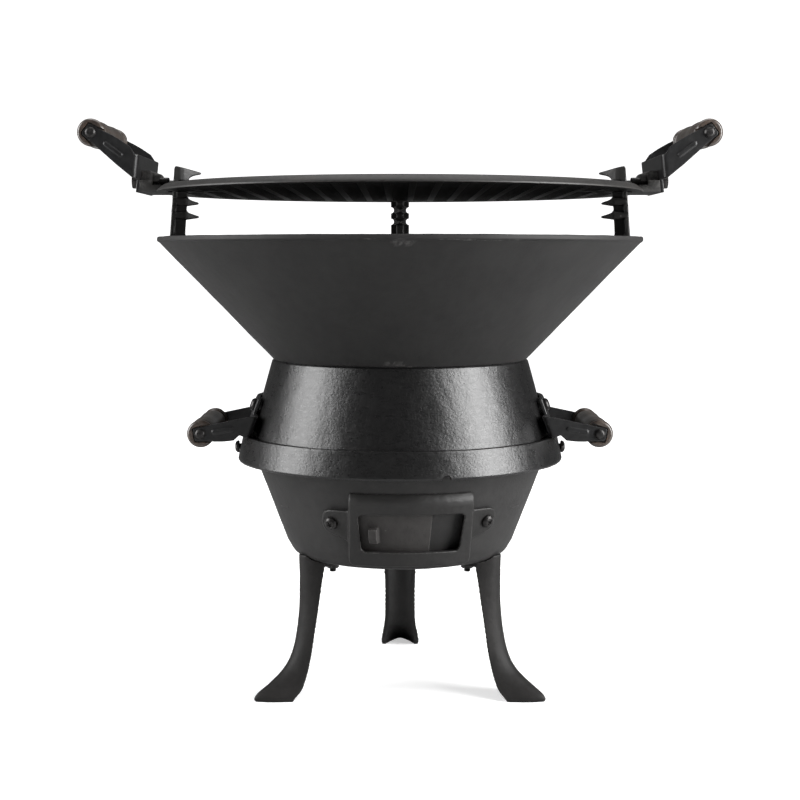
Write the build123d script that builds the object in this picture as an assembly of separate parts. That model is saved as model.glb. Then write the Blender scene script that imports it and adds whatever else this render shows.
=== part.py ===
from build123d import *
import math
import os

# Round cast-iron hibachi grill: bowl on three legs, body ring, wind cone and cooking grate.
# Frame: millimetres, +Z up, origin on the floor under the middle of the bowl,
# -Y is the front (air vent side), X runs through the side handles.
# Azimuths are degrees from +X; outlines are (radius or x, height) unless noted.

# ------------------------------------------------------------------ driving sizes
GAP = 0.05             # clearance left between touching pieces

RIM_R = 180.3          # outer radius of the wind cone's rim band
RIM_Z0, RIM_Z1 = 335.2, 338.9      # rim band, bottom and top
CONE_SLOPE = 0.957     # radius gained per mm of height, outer and inner cone face
CONE_WALL_H = 4.84     # cone wall measured horizontally
CONE_Z0 = 249.0        # height at which the cone's outer face has the neck radius
NECK_R = 96.5          # outer radius where cone and body ring meet
NECK_Z = 248.0         # height of that joint

RING_FOOT_R, RING_FOOT_Z = 112.3, 191.4   # lower edge of the ring's tapered wall
SKIRT_R, SKIRT_Z0 = 122.7, 172.5          # skirt hem
SKIRT_IN_R = 118.2
SEAT_Z = 184.0         # ring rests on the bowl's rim here

BOWL_R0, BOWL_Z0, BOWL_SLOPE = 83.9, 107.0, 0.379   # outer face of the lower bowl
BOWL_WALL_H = 4.8      # bowl wall measured horizontally
BOWL_BOTTOM, BOWL_FLOOR = 101.5, 106.5    # underside and inside of the bowl's floor
BOWL_RIM_R, BOWL_RIM_Z0 = 117.5, 176.0
CORNER_X, CORNER_R = 74.6, 9.0            # rounded corner below the bowl's wall
CORNER_Z = BOWL_BOTTOM + CORNER_R
FLANGE_SCREW_Z = 180.6                    # screws that hold ring and bowl together

VENT_AZ = -90 + 4.7                       # middle of the air vent, just right of the front
DAMPER_A0, DAMPER_A1 = -24.0, 8.47        # damper's edges, degrees from the vent's middle
VENT_OPEN_A0, VENT_OPEN_A1 = -22.6, -9.6  # opening's edges, likewise
POCKET_A = 25.5                           # half angle of the damper's pocket
VENT_SCREW_A, VENT_SCREW_Z = 33.84, 137.4
EAR_T = 4.0                               # thickness of the vent frame's ears

COAL_R, COAL_Z, COAL_T = 84.0, 150.0, 7.0

GRATE_R, GRATE_Z, GRATE_T = 180.0, 371.5, 5.0
GRATE_TOP = GRATE_Z + GRATE_T
GRATE_BAR, GRATE_PITCH = 5.0, 17.0
GRATE_OPEN_R = 170.0   # the square openings stay inside this radius

LEGS = {"leg_rear": 90.0, "leg_front_left": 210.0, "leg_front_right": 330.0}
LEG_BOLT_R = 58.0
LEG_TAB_Z0, LEG_TAB_Z1 = 97.0, BOWL_BOTTOM - 0.1

GRATE_POSTS = {"grate_post_rear": 90.0, "grate_post_left": 190.0, "grate_post_right": 350.0}
POST_W = 15.6
POST_HALF = POST_W / 2
TOOTH_LEVELS = (374.0, 364.2, 354.4)

SHEET = 2.5            # handle bracket sheet
BEND_OUT = 4.0         # outer radius of the bracket's corner bends
BEND_IN = BEND_OUT - SHEET
ARM_Y = 46.0           # outer face of the bracket arms
ARM_REACH = 70.0       # arm length before it is trimmed
GRIP_HALF = 46.3
ROD_R = 2.5
# bracket placing: web's middle (x, z), lean of the web in degrees, grip's axis (x, z)
SIDE_WEB, SIDE_LEAN, SIDE_GRIP = (113.3, 201.0), 20.0, (145.8, 195.5)
GRATE_WEB, GRATE_LEAN, GRATE_GRIP = (189.5, 389.0), 6.5, (221.5, 413.0)
BOLT_Y = 20.0          # handle bolts sit this far either side of the middle
GRATE_BOLT_Z = 379.3

M5, M6 = 2.5, 3.0      # shank radii
M5_HOLE, M6_HOLE = 2.75, 3.3
TAP = 0.02             # radial room of a tapped hole or nut around its screw
M5_NUT = (M5, 8.0, 4.0)     # shank radius, width across flats, height
M6_NUT = (M6, 10.0, 5.0)

os.makedirs("parts", exist_ok=True)


# ------------------------------------------------------------------ helpers
def save(name, *shapes):
    solids = []
    for shape in shapes:
        for item in shape if isinstance(shape, (list, tuple)) else [shape]:
            solids.extend(item.solids())
    whole = solids[0] if len(solids) == 1 else Compound(children=solids)
    export_step(whole, f"parts/{name}.step")


def left(shape):
    return mirror(shape, about=Plane.YZ)


def save_pair(name, right):
    """One file for the piece on the right, one for its mirror image."""
    save(name + "_right", right)
    save(name + "_left", left(right))


def save_both(name, right):
    """One file holding the right-hand pieces and their mirror images."""
    save(name, *right, *[left(shape) for shape in right])


def joined(shapes):
    whole = shapes[0]
    for shape in shapes[1:]:
        whole = whole + shape
    return whole


def outline_face(points):
    return make_face(Polyline(*points, close=True))


def rev(points, arc=360.0):
    face = make_face(Plane.XZ * Polyline(*points, close=True))
    return revolve(face, axis=Axis.Z, revolution_arc=arc)


def rev_between(points, start, end):
    return Rot(0, 0, start) * rev(points, end - start)


def slab(points, width):
    """X-Z outline, centred on Y=0."""
    return extrude(Plane.XZ * outline_face(points), amount=width / 2, both=True)


def plan(points, z0, z1):
    """X-Y outline between two heights."""
    return Pos(0, 0, z0) * extrude(outline_face(points), amount=z1 - z0)


def front_prism(points, start, depth):
    """X-Z outline that runs forwards from y = -start."""
    return extrude(Plane.XZ.offset(start) * outline_face(points), amount=depth)


def box(x0, x1, y0, y1, z0, z1):
    middle = Pos((x0 + x1) / 2, (y0 + y1) / 2, (z0 + z1) / 2)
    return middle * Box(x1 - x0, y1 - y0, z1 - z0)


def placed(point, direction, shape, x_dir=None):
    """Move a shape so that its origin is at point and its +Z runs along direction."""
    if x_dir is None:
        plane = Plane(origin=point, z_dir=direction)
    else:
        plane = Plane(origin=point, x_dir=x_dir, z_dir=direction)
    return plane.location * shape


def pin(point, direction, radius, length):
    """Cylinder from point along direction."""
    return placed(point, direction, Pos(0, 0, length / 2) * Cylinder(radius, length))


def shift(point, *moves):
    """Move a 2D or 3D point by any number of (direction, distance) steps."""
    for direction, distance in moves:
        point = tuple(p + d * distance for p, d in zip(point, direction))
    return point


def opposite(direction):
    return tuple(-c for c in direction)


def in_xz(pair):
    return (pair[0], 0.0, pair[1])


def mirror_x(half):
    """Close a half outline with its reflection in x = 0."""
    return half + [(-x, y) for x, y in reversed(half) if x]


def mirror_y(half):
    """Close a half outline with its reflection in y = 0."""
    return half + [(x, -y) for x, y in reversed(half) if y]


def arc_points(x, y, radius, start, end):
    """Seven points on an arc, angles in degrees."""
    angles = [math.radians(start + (end - start) * i / 6.0) for i in range(7)]
    return [(x + radius * math.cos(a), y + radius * math.sin(a)) for a in angles]


def bowl_r(z):
    """Outer radius of the bowl's wall."""
    return BOWL_R0 + (z - BOWL_Z0) * BOWL_SLOPE


def bowl_band(z0, z1, inner, outer):
    """Profile of a band along the bowl's wall, inner and outer mm off its outer face."""
    return [(bowl_r(z0) + inner, z0), (bowl_r(z0) + outer, z0),
            (bowl_r(z1) + outer, z1), (bowl_r(z1) + inner, z1)]


def cone_out(z):
    return NECK_R + (z - CONE_Z0) * CONE_SLOPE


def cone_in(z):
    return cone_out(z) - CONE_WALL_H


def cone_in_z(radius):
    """Height at which the cone's inner face has this radius."""
    return CONE_Z0 + (radius - NECK_R + CONE_WALL_H) / CONE_SLOPE


# ------------------------------------------------------------------ fasteners
def pan_screw(radius, head_r, head_h, length):
    """Cross-recess pan head: underside of the head at z=0, shank downwards."""
    head = rev([(0, 0), (head_r, 0), (head_r, head_h * 0.35), (head_r * 0.93, head_h * 0.62),
                (head_r * 0.74, head_h * 0.87), (head_r * 0.45, head_h), (0, head_h)])
    screw = head + Pos(0, 0, -length / 2) * Cylinder(radius, length)
    slot_w, slot_l, slot_d = head_r * 0.22, head_r * 1.15, head_h * 0.5
    for size_x, size_y in ((slot_l, slot_w), (slot_w, slot_l)):
        screw = screw - Pos(0, 0, head_h - slot_d / 2 + 0.1) * Box(size_x, size_y, slot_d + 0.2)
    return screw


def hex_prism(flats, height):
    """Hexagon with chamfered corners, standing on z=0."""
    corner_r = flats / math.sqrt(3)
    angles = [math.radians(60 * i + 30) for i in range(6)]
    points = [(corner_r * math.cos(a), corner_r * math.sin(a)) for a in angles]
    prism = extrude(outline_face(points), amount=height)
    drop = (corner_r - flats / 2) * 0.58
    return prism & rev([(0, 0), (flats / 2, 0), (corner_r, drop), (corner_r, height - drop),
                        (flats / 2, height), (0, height)])


def hex_bolt(radius, flats, head_h, length):
    """Underside of the head at z=0, shank downwards."""
    return hex_prism(flats, head_h) + Pos(0, 0, -length / 2) * Cylinder(radius, length)


def hex_nut(radius, flats, height):
    """From z=0 down to z=-height."""
    blank = Pos(0, 0, -height) * hex_prism(flats, height)
    return blank - Pos(0, 0, -height / 2) * Cylinder(radius + TAP, height + 2)


# ------------------------------------------------------------------ vent screw places
def vent_screw_sites():
    """(point on the ear's face, outward normal) of each screw, square to the bowl's wall."""
    tilt = math.atan(BOWL_SLOPE)
    radius = bowl_r(VENT_SCREW_Z) + EAR_T
    sites = []
    for side in (-1, 1):
        az = math.radians(VENT_AZ + side * VENT_SCREW_A)
        normal = (math.cos(tilt) * math.cos(az), math.cos(tilt) * math.sin(az), -math.sin(tilt))
        sites.append(((radius * math.cos(az), radius * math.sin(az), VENT_SCREW_Z), normal))
    return sites


VENT_SCREWS = vent_screw_sites()


# ------------------------------------------------------------------ lower bowl
def bowl_profile():
    wall_angle = math.degrees(math.atan(BOWL_SLOPE))
    return ([(0, BOWL_BOTTOM)]
            + arc_points(CORNER_X, CORNER_Z, CORNER_R, -90, -wall_angle)
            + [(bowl_r(112.0), 112.0), (bowl_r(172.0), 172.0), (112.8, BOWL_RIM_Z0),
               (BOWL_RIM_R, BOWL_RIM_Z0), (BOWL_RIM_R, SEAT_Z - GAP),
               (bowl_r(SEAT_Z) - BOWL_WALL_H, SEAT_Z - GAP),
               (bowl_r(116.0) - BOWL_WALL_H, 116.0), (78.6, 109.6),
               (73.0, BOWL_FLOOR), (0, BOWL_FLOOR)])


def coal_lug():
    """Lug inside the wall that carries the charcoal grate, hollowed underneath."""
    lug = box(78.5, 97.0, -7, 7, COAL_Z - 9.0, COAL_Z - GAP)
    lug = lug - (Pos(76.5, 0, COAL_Z - 12.5) * Rot(90, 0, 0) * Cylinder(9, 20))
    return lug & rev([(60, 130), (bowl_r(130) - 2, 130), (bowl_r(160) - 2, 160), (60, 160)])


def make_bowl():
    bowl = rev(bowl_profile())
    lug = coal_lug()
    for az in LEGS.values():
        bowl = bowl + Rot(0, 0, az) * lug
        angle = math.radians(az)
        below = (LEG_BOLT_R * math.cos(angle), LEG_BOLT_R * math.sin(angle), 90)
        bowl = bowl - pin(below, (0, 0, 1), M5_HOLE, 30)
    # air opening behind the damper
    bowl = bowl - rev_between([(78, 119), (112, 119), (112, 144), (78, 144)],
                              VENT_AZ + VENT_OPEN_A0, VENT_AZ + VENT_OPEN_A1)
    # tapped holes for the flange screws
    for side in (1, -1):
        bowl = bowl - pin((side * 119, 0, FLANGE_SCREW_Z), (-side, 0, 0), M5 + TAP, 9.2)
    for point, normal in VENT_SCREWS:
        bowl = bowl - pin(shift(point, (normal, 2)), opposite(normal), M5_HOLE, 22)
    return bowl


save("lower_bowl", make_bowl())

# ------------------------------------------------------------------ legs
# Each leg is a curved shell, crescent-shaped in plan, that opens into a pointed, hollow foot.
# (height, outer radius at the middle, outer radius at the edges, half width,
#  inner radius at the middle, sharpness)
LEG_STATIONS = [
    (0.0, 123.6, 99.0, 15.4, 118.4, 1.45),
    (2.2, 124.3, 97.6, 15.7, 116.2, 1.45),
    (4.6, 123.9, 95.2, 15.8, 113.4, 1.48),
    (7.0, 121.4, 92.6, 15.6, 110.4, 1.52),
    (9.5, 117.4, 90.7, 15.3, 107.0, 1.56),
    (12.5, 111.6, 89.2, 14.8, 102.4, 1.65),
    (16.0, 105.2, 87.5, 14.2, 97.4, 1.75),
    (20.4, 99.2, 85.6, 13.5, 92.6, 1.85),
    (25.5, 94.7, 84.1, 13.0, 89.0, 1.95),
    (32.0, 91.2, 82.4, 12.8, 86.2, 2.0),
    (42.0, 88.2, 80.5, 12.7, 83.6, 2.0),
    (55.0, 86.0, 78.4, 12.8, 81.5, 2.0),
    (73.0, 84.6, 75.8, 13.5, 80.0, 2.0),
    (86.0, 84.5, 74.0, 14.1, 79.6, 2.0),
    (94.0, 84.8, 72.6, 14.4, 78.0, 2.0),
    (105.4, 85.2, 71.6, 14.4, 77.4, 2.0),
]
# halves of plan outlines (radius, sideways)
LEG_TAB_HALF = [(82.4, 3.5), (80.4, 7.5), (76.6, 11.0), (72.0, 13.4), (64, 13.6), (58, 10.0)]
GUSSET_PLAN_HALF = [(60, -12), (75.2, -10.5), (79.2, -8), (81.4, -6), (82.6, -4)]
GUSSET_SIDE = [(68.5, 97.2), (83.0, 97.2), (82.0, 84.0), (78.6, 84.0), (77.4, 90.6), (74.0, 95.2)]


def leg_section(z, outer_mid, outer_edge, half_w, inner_mid, sharpness):
    steps = 9
    points = []
    for i in range(-steps, steps + 1):
        u = i / steps
        # drawn in by up to 2 %, but full width at the very edges
        sideways = half_w * (1 - 0.02 * abs(u)) * u if abs(u) < 1 else half_w * u
        points.append((outer_mid - (outer_mid - outer_edge) * abs(u) ** sharpness, sideways))
    inner_half_w, inner_edge = half_w - 3.3, outer_edge - 0.6
    for i in range(steps, -steps - 1, -1):
        u = i / steps
        points.append((inner_mid - (inner_mid - inner_edge) * abs(u) ** sharpness,
                       inner_half_w * u))
    return Pos(0, 0, z) * outline_face(points)


def make_leg():
    """Leg on the +X side."""
    leg = joined([loft([leg_section(*low), leg_section(*high)], ruled=True)
                  for low, high in zip(LEG_STATIONS[:-1], LEG_STATIONS[1:])])
    # the top wraps the bowl's rounded corner with a small gap
    near_bowl = rev([(0, LEG_TAB_Z1), (74.0, LEG_TAB_Z1)]
                    + arc_points(CORNER_X, CORNER_Z, CORNER_R + 0.6, -84, -19.5)
                    + [(bowl_r(116.0) + 0.8, 116.0), (0, 116.0)])
    tab = plan(mirror_y(LEG_TAB_HALF), LEG_TAB_Z0, LEG_TAB_Z1)
    tab = tab + (Pos(LEG_BOLT_R, 0, (LEG_TAB_Z0 + LEG_TAB_Z1) / 2)
                 * Cylinder(10.0, LEG_TAB_Z1 - LEG_TAB_Z0))
    gusset = slab(GUSSET_SIDE, 24.0) & plan(mirror_y(GUSSET_PLAN_HALF), 80, 100)
    leg = leg - near_bowl
    leg = leg + tab + gusset
    return leg - pin((LEG_BOLT_R, 0, 80), (0, 0, 1), M5_HOLE, 40)


leg = make_leg()
leg_bolts, leg_nuts = [], []
for leg_name, az in LEGS.items():
    save(leg_name, Rot(0, 0, az) * leg)
    bolt_x = LEG_BOLT_R * math.cos(math.radians(az))
    bolt_y = LEG_BOLT_R * math.sin(math.radians(az))
    leg_bolts.append(Pos(bolt_x, bolt_y, BOWL_FLOOR) * Rot(0, 0, az)
                     * pan_screw(M5, 4.75, 3.3, BOWL_FLOOR - 90.3))
    leg_nuts.append(Pos(bolt_x, bolt_y, LEG_TAB_Z0) * Rot(0, 0, az) * hex_nut(*M5_NUT))
save("leg_bolts", *leg_bolts)
save("leg_nuts", *leg_nuts)

# ------------------------------------------------------------------ vent frame and damper
# (x, z) seen from the front, drawn with the vent's middle at x = 0
FRAME_HALF = [(39.5, 107), (42.2, 108.2), (43.1, 111), (44.0, 155), (44.0, 158.4), (42.5, 161.5)]
WINDOW_HALF = [(32.6, 117.8), (34.6, 119.8), (37.5, 143.5), (35.5, 145.5)]
EAR = [(42.0, 147.5), (57.0, 147.3), (60.2, 145.9), (61.7, 142.8), (61.9, 138.0), (61.2, 134.0),
       (58.8, 130.6), (55.0, 128.4), (49.5, 127.0), (46.0, 125.6), (42.0, 122.0)]


def frame_face_r(z):
    """Radius of the frame's front face."""
    return 93.5 + (z - 107.0) * 0.30


def make_vent_frame():
    shell = rev([(bowl_r(105) + GAP, 105), (frame_face_r(105), 105),
                 (frame_face_r(152.4), 152.4), (frame_face_r(155.2) - 0.5, 155.2),
                 (frame_face_r(157.6) - 2.0, 157.6), (bowl_r(160.6) + 0.9, 160.6),
                 (bowl_r(160.9) + GAP, 160.9)])
    frame = front_prism(mirror_x(FRAME_HALF), 60, 70) & shell
    ears = joined([front_prism([(side * x, z) for x, z in EAR], 40, 90) for side in (-1, 1)])
    frame = frame + (ears & rev(bowl_band(115, 160, GAP, EAR_T)))
    frame = frame - front_prism(mirror_x(WINDOW_HALF), 60, 70)
    # pocket at the back in which the damper slides
    frame = frame - rev_between(bowl_band(113.5, 150, -2, 3.0), -90 - POCKET_A, -90 + POCKET_A)
    frame = Rot(0, 0, VENT_AZ + 90) * frame
    for point, normal in VENT_SCREWS:
        frame = frame - pin(shift(point, (normal, 4)), opposite(normal), M5_HOLE, 16)
    return frame


def make_damper():
    plate = rev_between(bowl_band(114.5, 149, 0.6, 2.6),
                        VENT_AZ + DAMPER_A0, VENT_AZ + DAMPER_A1)
    lug = rev_between([(bowl_r(124.5) + 2.0, 123.8), (bowl_r(124.5) + 9.2, 124.6),
                       (bowl_r(129) + 10.0, 128.0), (bowl_r(135) + 9.2, 134.9),
                       (bowl_r(135.7) + 2.0, 135.7)], VENT_AZ - 17.2, VENT_AZ - 13.8)
    return plate + lug


save("vent_frame", make_vent_frame())
save("vent_frame_screws", *[placed(shift(point, (normal, 0.03)), normal,
                                   pan_screw(M5, 4.9, 3.4, 14.2))
                            for point, normal in VENT_SCREWS])
save("vent_frame_nuts", *[placed(shift(point, (normal, -8.55)), normal, hex_nut(*M5_NUT))
                          for point, normal in VENT_SCREWS])
save("vent_damper", make_damper())

# ------------------------------------------------------------------ handles
# All are built on the +X side and mirrored for the left.
# The side brackets' webs are curved round the body ring.
WRAP = 15.0               # slope in degrees at which a curved web meets its corner bends
WRAP_Y = ARM_Y - BEND_OUT - (BEND_IN + SHEET / 2) * math.cos(math.radians(270 + WRAP))
WRAP_R = WRAP_Y / math.sin(math.radians(WRAP))      # radius of a curved web's mid surface

# (radius, distance from the middle) of half the turned grip
GRIP_PROFILE_HALF = [
    (9.0, GRIP_HALF), (9.8, 45.4), (10.0, 44.0), (10.0, 41.6), (9.4, 40.4), (8.7, 39.8),
    (8.7, 39.2), (9.5, 38.4), (9.8, 37.2), (9.5, 36.0), (8.8, 35.2), (8.8, 34.6),
    (9.3, 31.0), (9.75, 26.0), (9.95, 20.0), (9.75, 13.0), (9.3, 6.5), (9.1, 0.0)]


def web_axes(lean):
    """Outward normal and up direction of a bracket's web."""
    angle = math.radians(lean)
    return (math.cos(angle), 0.0, math.sin(angle)), (-math.sin(angle), 0.0, math.cos(angle))


def arm_axes(web, grip):
    """Distance from web to grip, (x, z) direction along the arm, and the one across it."""
    dx, dz = grip[0] - web[0], grip[1] - web[1]
    length = math.hypot(dx, dz)
    along = (dx / length, dz / length)
    return length, along, (-along[1], along[0])


def curved_u():
    """U outline whose web is an arc bulging outwards, tangent to both corner bends."""
    meet = 270 + WRAP
    bend_x = BEND_OUT - ARM_Y
    bend_y = (-WRAP_R * (1 - math.cos(math.radians(WRAP)))
              - (BEND_IN + SHEET / 2) * math.sin(math.radians(meet)))

    def on_bend(radius, degrees):
        angle = math.radians(degrees)
        return (bend_x + radius * math.cos(angle), bend_y + radius * math.sin(angle))

    def flip(point):
        return (-point[0], point[1])

    def run(radius, crown):
        """Arm, bend, web, bend, arm."""
        start, middle, end = (on_bend(radius, d) for d in (180, 225 + WRAP / 2, meet))
        return [Line((start[0], ARM_REACH), start),
                ThreePointArc(start, middle, end),
                ThreePointArc(end, (0, crown), flip(end)),
                ThreePointArc(flip(end), flip(middle), flip(start)),
                Line(flip(start), (-start[0], ARM_REACH))]

    curves = run(BEND_OUT, -SHEET / 2) + run(BEND_IN, SHEET / 2)
    curves += [Line((side * ARM_Y, ARM_REACH), (side * (ARM_Y - SHEET), ARM_REACH))
               for side in (-1, 1)]
    return make_face([edge for curve in curves for edge in curve.edges()])


def flat_u():
    """U outline with a flat web."""
    outside = [(-ARM_Y, ARM_REACH)] + arc_points(
        BEND_OUT - ARM_Y, BEND_OUT - SHEET / 2, BEND_OUT, 180, 270)
    inside = [(ARM_Y - SHEET, ARM_REACH)] + arc_points(
        ARM_Y - SHEET - BEND_IN, BEND_IN + SHEET / 2, BEND_IN, 0, -90)
    return outline_face(mirror_x(outside) + mirror_x(inside))


def arm_outline(web, lean, grip, wrap):
    """Side view of an arm, which tapers from the web to the grip."""
    normal, up = [(d[0], d[2]) for d in web_axes(lean)]
    length, along, across = arm_axes(web, grip)
    if wrap:
        top = [shift(web, (along, -15.0), (across, 5.0)), shift(web, (along, -3.0), (across, 6.4))]
        bottom = [shift(web, (along, -15.0), (across, -6.0)),
                  shift(web, (up, -7.5), (normal, -3.0)), shift(web, (up, -7.5), (normal, 1.6))]
    else:
        top = [shift(web, (up, 8.5), (normal, out)) for out in (-2, 1.6)]
        bottom = [shift(web, (up, -8.5), (normal, out)) for out in (-2, 1.6)]
    for part in (0.3, 0.5, 0.7, 0.85):
        taper = 8.5 + (5.0 - 8.5) * part
        swollen = taper + 1.7 * math.sin(math.pi * part)
        # a wrapped bracket swells along its lower edge, a flat one along its upper edge
        high, low = (6.4 - 1.4 * part, swollen) if wrap else (swollen, taper)
        top.append(shift(web, (along, length * part), (across, high)))
        bottom.append(shift(web, (along, length * part), (across, -low)))
    for reach, height in ((3.6, 5.0), (5.0, 3.6)):
        top.append(shift(grip, (along, reach), (across, height)))
        bottom.append(shift(grip, (along, reach), (across, -height)))
    return top + bottom[::-1]


def bracket(web, lean, grip, web_low, web_high, wrap=False):
    """U-shaped strap: web on the casting, two arms out to the grip.
    web_low and web_high: the web's edges, measured up from its middle.
    wrap: the web is bent round the casting and the arms reach further in."""
    normal, up = web_axes(lean)
    plane = Plane(origin=in_xz(web), x_dir=(0, 1, 0), z_dir=opposite(up))
    strap = extrude(plane * (curved_u() if wrap else flat_u()), amount=60, both=True)
    arms = slab(arm_outline(web, lean, grip, wrap), 2 * ARM_Y + 4)
    normal, up = (normal[0], normal[2]), (up[0], up[2])
    deep = -7.0 if wrap else -2.0
    web_strip = slab([shift(web, (up, height), (normal, out)) for height, out in
                      ((web_low, deep), (web_high, deep), (web_high, 1.25), (web_low, 1.25))], 60)
    strap = strap & (arms + web_strip)
    length, along, _ = arm_axes(web, grip)
    rib_x, rib_z = shift(web, (along, length * 0.50))
    slope = math.degrees(math.atan2(along[1], along[0]))
    for side in (-1, 1):
        # pressed stiffening rib on each arm
        strap = strap + Pos(rib_x, side * (ARM_Y + 0.1), rib_z) * Rot(0, -slope, 0) * (
            Box(13.0, 1.4, 2.6)
            + Pos(6.5, 0, 0) * Rot(90, 0, 0) * Cylinder(1.3, 1.4)
            + Pos(-6.5, 0, 0) * Rot(90, 0, 0) * Cylinder(1.3, 1.4))
        strap = strap - pin((grip[0], side * (ARM_Y + 3), grip[1]), (0, -side, 0), ROD_R + 0.1, 8)
    return strap


def make_grip(web, grip):
    """Turned grip, notched at both ends for the arms and bored for the rod."""
    body = rev([(0, GRIP_HALF)] + mirror_y(GRIP_PROFILE_HALF) + [(0, -GRIP_HALF)])
    body = Pos(grip[0], 0, grip[1]) * Rot(90, 0, 0) * body
    _, along, across = arm_axes(web, grip)
    notch = slab([shift(grip, (along, reach), (across, height)) for reach, height in
                  ((5.4, -5.4), (5.4, 5.4), (0, 6.0), (-12, 9.2), (-12, -9.2), (0, -6.0))], 120)
    notch_y = ARM_Y - SHEET - 0.15
    body = body - (notch - box(-400, 400, -notch_y, notch_y, 0, 500))
    return body - pin((grip[0], -60, grip[1]), (0, 1, 0), ROD_R + 0.05, 120)


def make_rod(grip):
    """Rod through grip and arms, with a domed head at each end."""
    end = ARM_Y + 0.03
    dome = rev([(0, 0), (3.9, 0), (3.8, 0.7), (3.2, 1.4), (2.0, 1.95), (0, 2.15)])
    rod = (pin((0, 0, -end), (0, 0, 1), ROD_R, 2 * end) + Pos(0, 0, end) * dome
           + Pos(0, 0, -end) * Rot(180, 0, 0) * dome)
    return Pos(grip[0], 0, grip[1]) * Rot(90, 0, 0) * rod


# ------------------------------------------------------------------ side handles, body ring
def side_bolt_sites():
    """(point on the curved web's inner face, normal there) of each bolt."""
    normal, up = web_axes(SIDE_LEAN)
    face_r = WRAP_R - SHEET / 2
    sites = []
    for side in (-1, 1):
        turn = side * math.asin(BOLT_Y / WRAP_R)
        point = shift(in_xz(SIDE_WEB), (up, 14.5), (normal, face_r * math.cos(turn) - WRAP_R),
                      ((0, 1, 0), face_r * math.sin(turn)))
        sites.append((point, (normal[0] * math.cos(turn), math.sin(turn),
                              normal[2] * math.cos(turn))))
    return sites


SIDE_BOLTS = side_bolt_sites()
RING_PROFILE = [
    (95.6, NECK_Z), (96.45, 247.1), (RING_FOOT_R, RING_FOOT_Z), (112.4, 190.3), (114.4, 190.3),
    (114.6, 192.2), (118.0, 192.3), (118.7, 191.6), (SKIRT_R - 0.1, 173.8),
    (SKIRT_R - 0.6, SKIRT_Z0), (SKIRT_IN_R, SKIRT_Z0), (SKIRT_IN_R, SEAT_Z), (107.7, SEAT_Z),
    (91.9, NECK_Z)]


def make_ring():
    ring = rev(RING_PROFILE)
    # pouring-gate scar on the hem
    ring = ring - Rot(0, 0, -90 + 15.2) * (Pos(121, 0, SKIRT_Z0) * Rot(0, 90, 0)
                                           * Cylinder(3.6, 10))
    for side in (1, -1):
        ring = ring - pin((side * 126, 0, FLANGE_SCREW_Z), (-side, 0, 0), M5_HOLE, 10)
    # round pads that meet the curved webs
    normal, up = web_axes(SIDE_LEAN)
    inside_web = pin(shift(in_xz(SIDE_WEB), (normal, -WRAP_R), (up, -20)), up,
                     WRAP_R - SHEET / 2 - GAP, 60)
    pads = joined([pin(shift(point, (face, 0.3)), opposite(face), 6.5, 12.35) & inside_web
                   for point, face in SIDE_BOLTS])
    holes = joined([pin(shift(point, (face, 2)), opposite(face), M5_HOLE, 20)
                    for point, face in SIDE_BOLTS])
    return ring + pads + left(pads) - holes - left(holes)


side_bracket = bracket(SIDE_WEB, SIDE_LEAN, SIDE_GRIP, -7.3, 20.5, wrap=True)
side_screws, side_nuts = [], []
for point, face in SIDE_BOLTS:
    side_bracket = side_bracket - pin(shift(point, (face, 5)), opposite(face), M5_HOLE, 12)
    side_screws.append(placed(shift(point, (face, SHEET + 0.02)), face,
                              pan_screw(M5, 4.75, 3.3, 20.5)))
    side_nuts.append(placed(shift(point, (face, -12.07)), face, hex_nut(*M5_NUT)))
save("body_ring", make_ring())
save_pair("side_handle_bracket", side_bracket)
save_pair("side_handle_grip", make_grip(SIDE_WEB, SIDE_GRIP))
save_pair("side_handle_rod", make_rod(SIDE_GRIP))
save_both("side_handle_screws", side_screws)
save_both("side_handle_nuts", side_nuts)
save("flange_screws", *[placed((side * 122.4, 0, FLANGE_SCREW_Z), (side, 0, 0),
                               pan_screw(M5, 4.6, 3.2, 12.6)) for side in (1, -1)])

# ------------------------------------------------------------------ wind cone
COS_CONE = 1.0 / math.hypot(1.0, CONE_SLOPE)
OFF_WALL = (-COS_CONE, CONE_SLOPE * COS_CONE)      # (x, z) off the inner face, inwards and up
DOWN_WALL = (-CONE_SLOPE * COS_CONE, -COS_CONE)    # (x, z) down along the inner face
FOOT_R = 160.5                                     # radius of the post's foot screw
FOOT = (FOOT_R, cone_in_z(FOOT_R))                 # its place on the inner face
PAD_T = 5.0                                        # pad under each post's foot


def on_foot_screw(distance):
    """Point on the foot screw's axis, this far off the wall."""
    return in_xz(shift(FOOT, (OFF_WALL, distance)))


def make_cone():
    z0 = NECK_Z + GAP
    cone = rev([(95.4, z0), (96.3, z0 + 0.9), (cone_out(RIM_Z0 - 0.6), RIM_Z0 - 0.6),
                (179.3, RIM_Z0), (180.0, RIM_Z0 + 0.3), (RIM_R, RIM_Z0 + 1.0),
                (RIM_R, RIM_Z1 - 0.8), (179.7, RIM_Z1), (176.4, RIM_Z1), (176.0, RIM_Z1 - 0.4),
                (176.0, cone_in_z(176.0)), (87.0, cone_in_z(87.0)), (87.0, 240.5),
                (91.0, 240.5), (91.2, 240.9), (91.2, z0)])
    normal = in_xz(OFF_WALL)
    sunk = 1.5         # the pad starts this deep in the wall
    for az in GRATE_POSTS.values():
        pad = placed(on_foot_screw(-sunk), normal,
                     Pos(0, 0, (PAD_T + sunk) / 2) * Box(24, POST_W, PAD_T + sunk),
                     x_dir=in_xz(DOWN_WALL))
        cone = cone + Rot(0, 0, az) * pad
        cone = cone - Rot(0, 0, az) * pin(on_foot_screw(PAD_T + 1), opposite(normal),
                                          M6 + TAP, PAD_T + 1 + 1.6)
    return cone


save("wind_cone", make_cone())

# ------------------------------------------------------------------ grate posts
FOOT_GAP = PAD_T + GAP     # foot's underside, off the wall
FOOT_T = 4.5
PLATE_T, WEB_W = 2.8, 5.2
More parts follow.
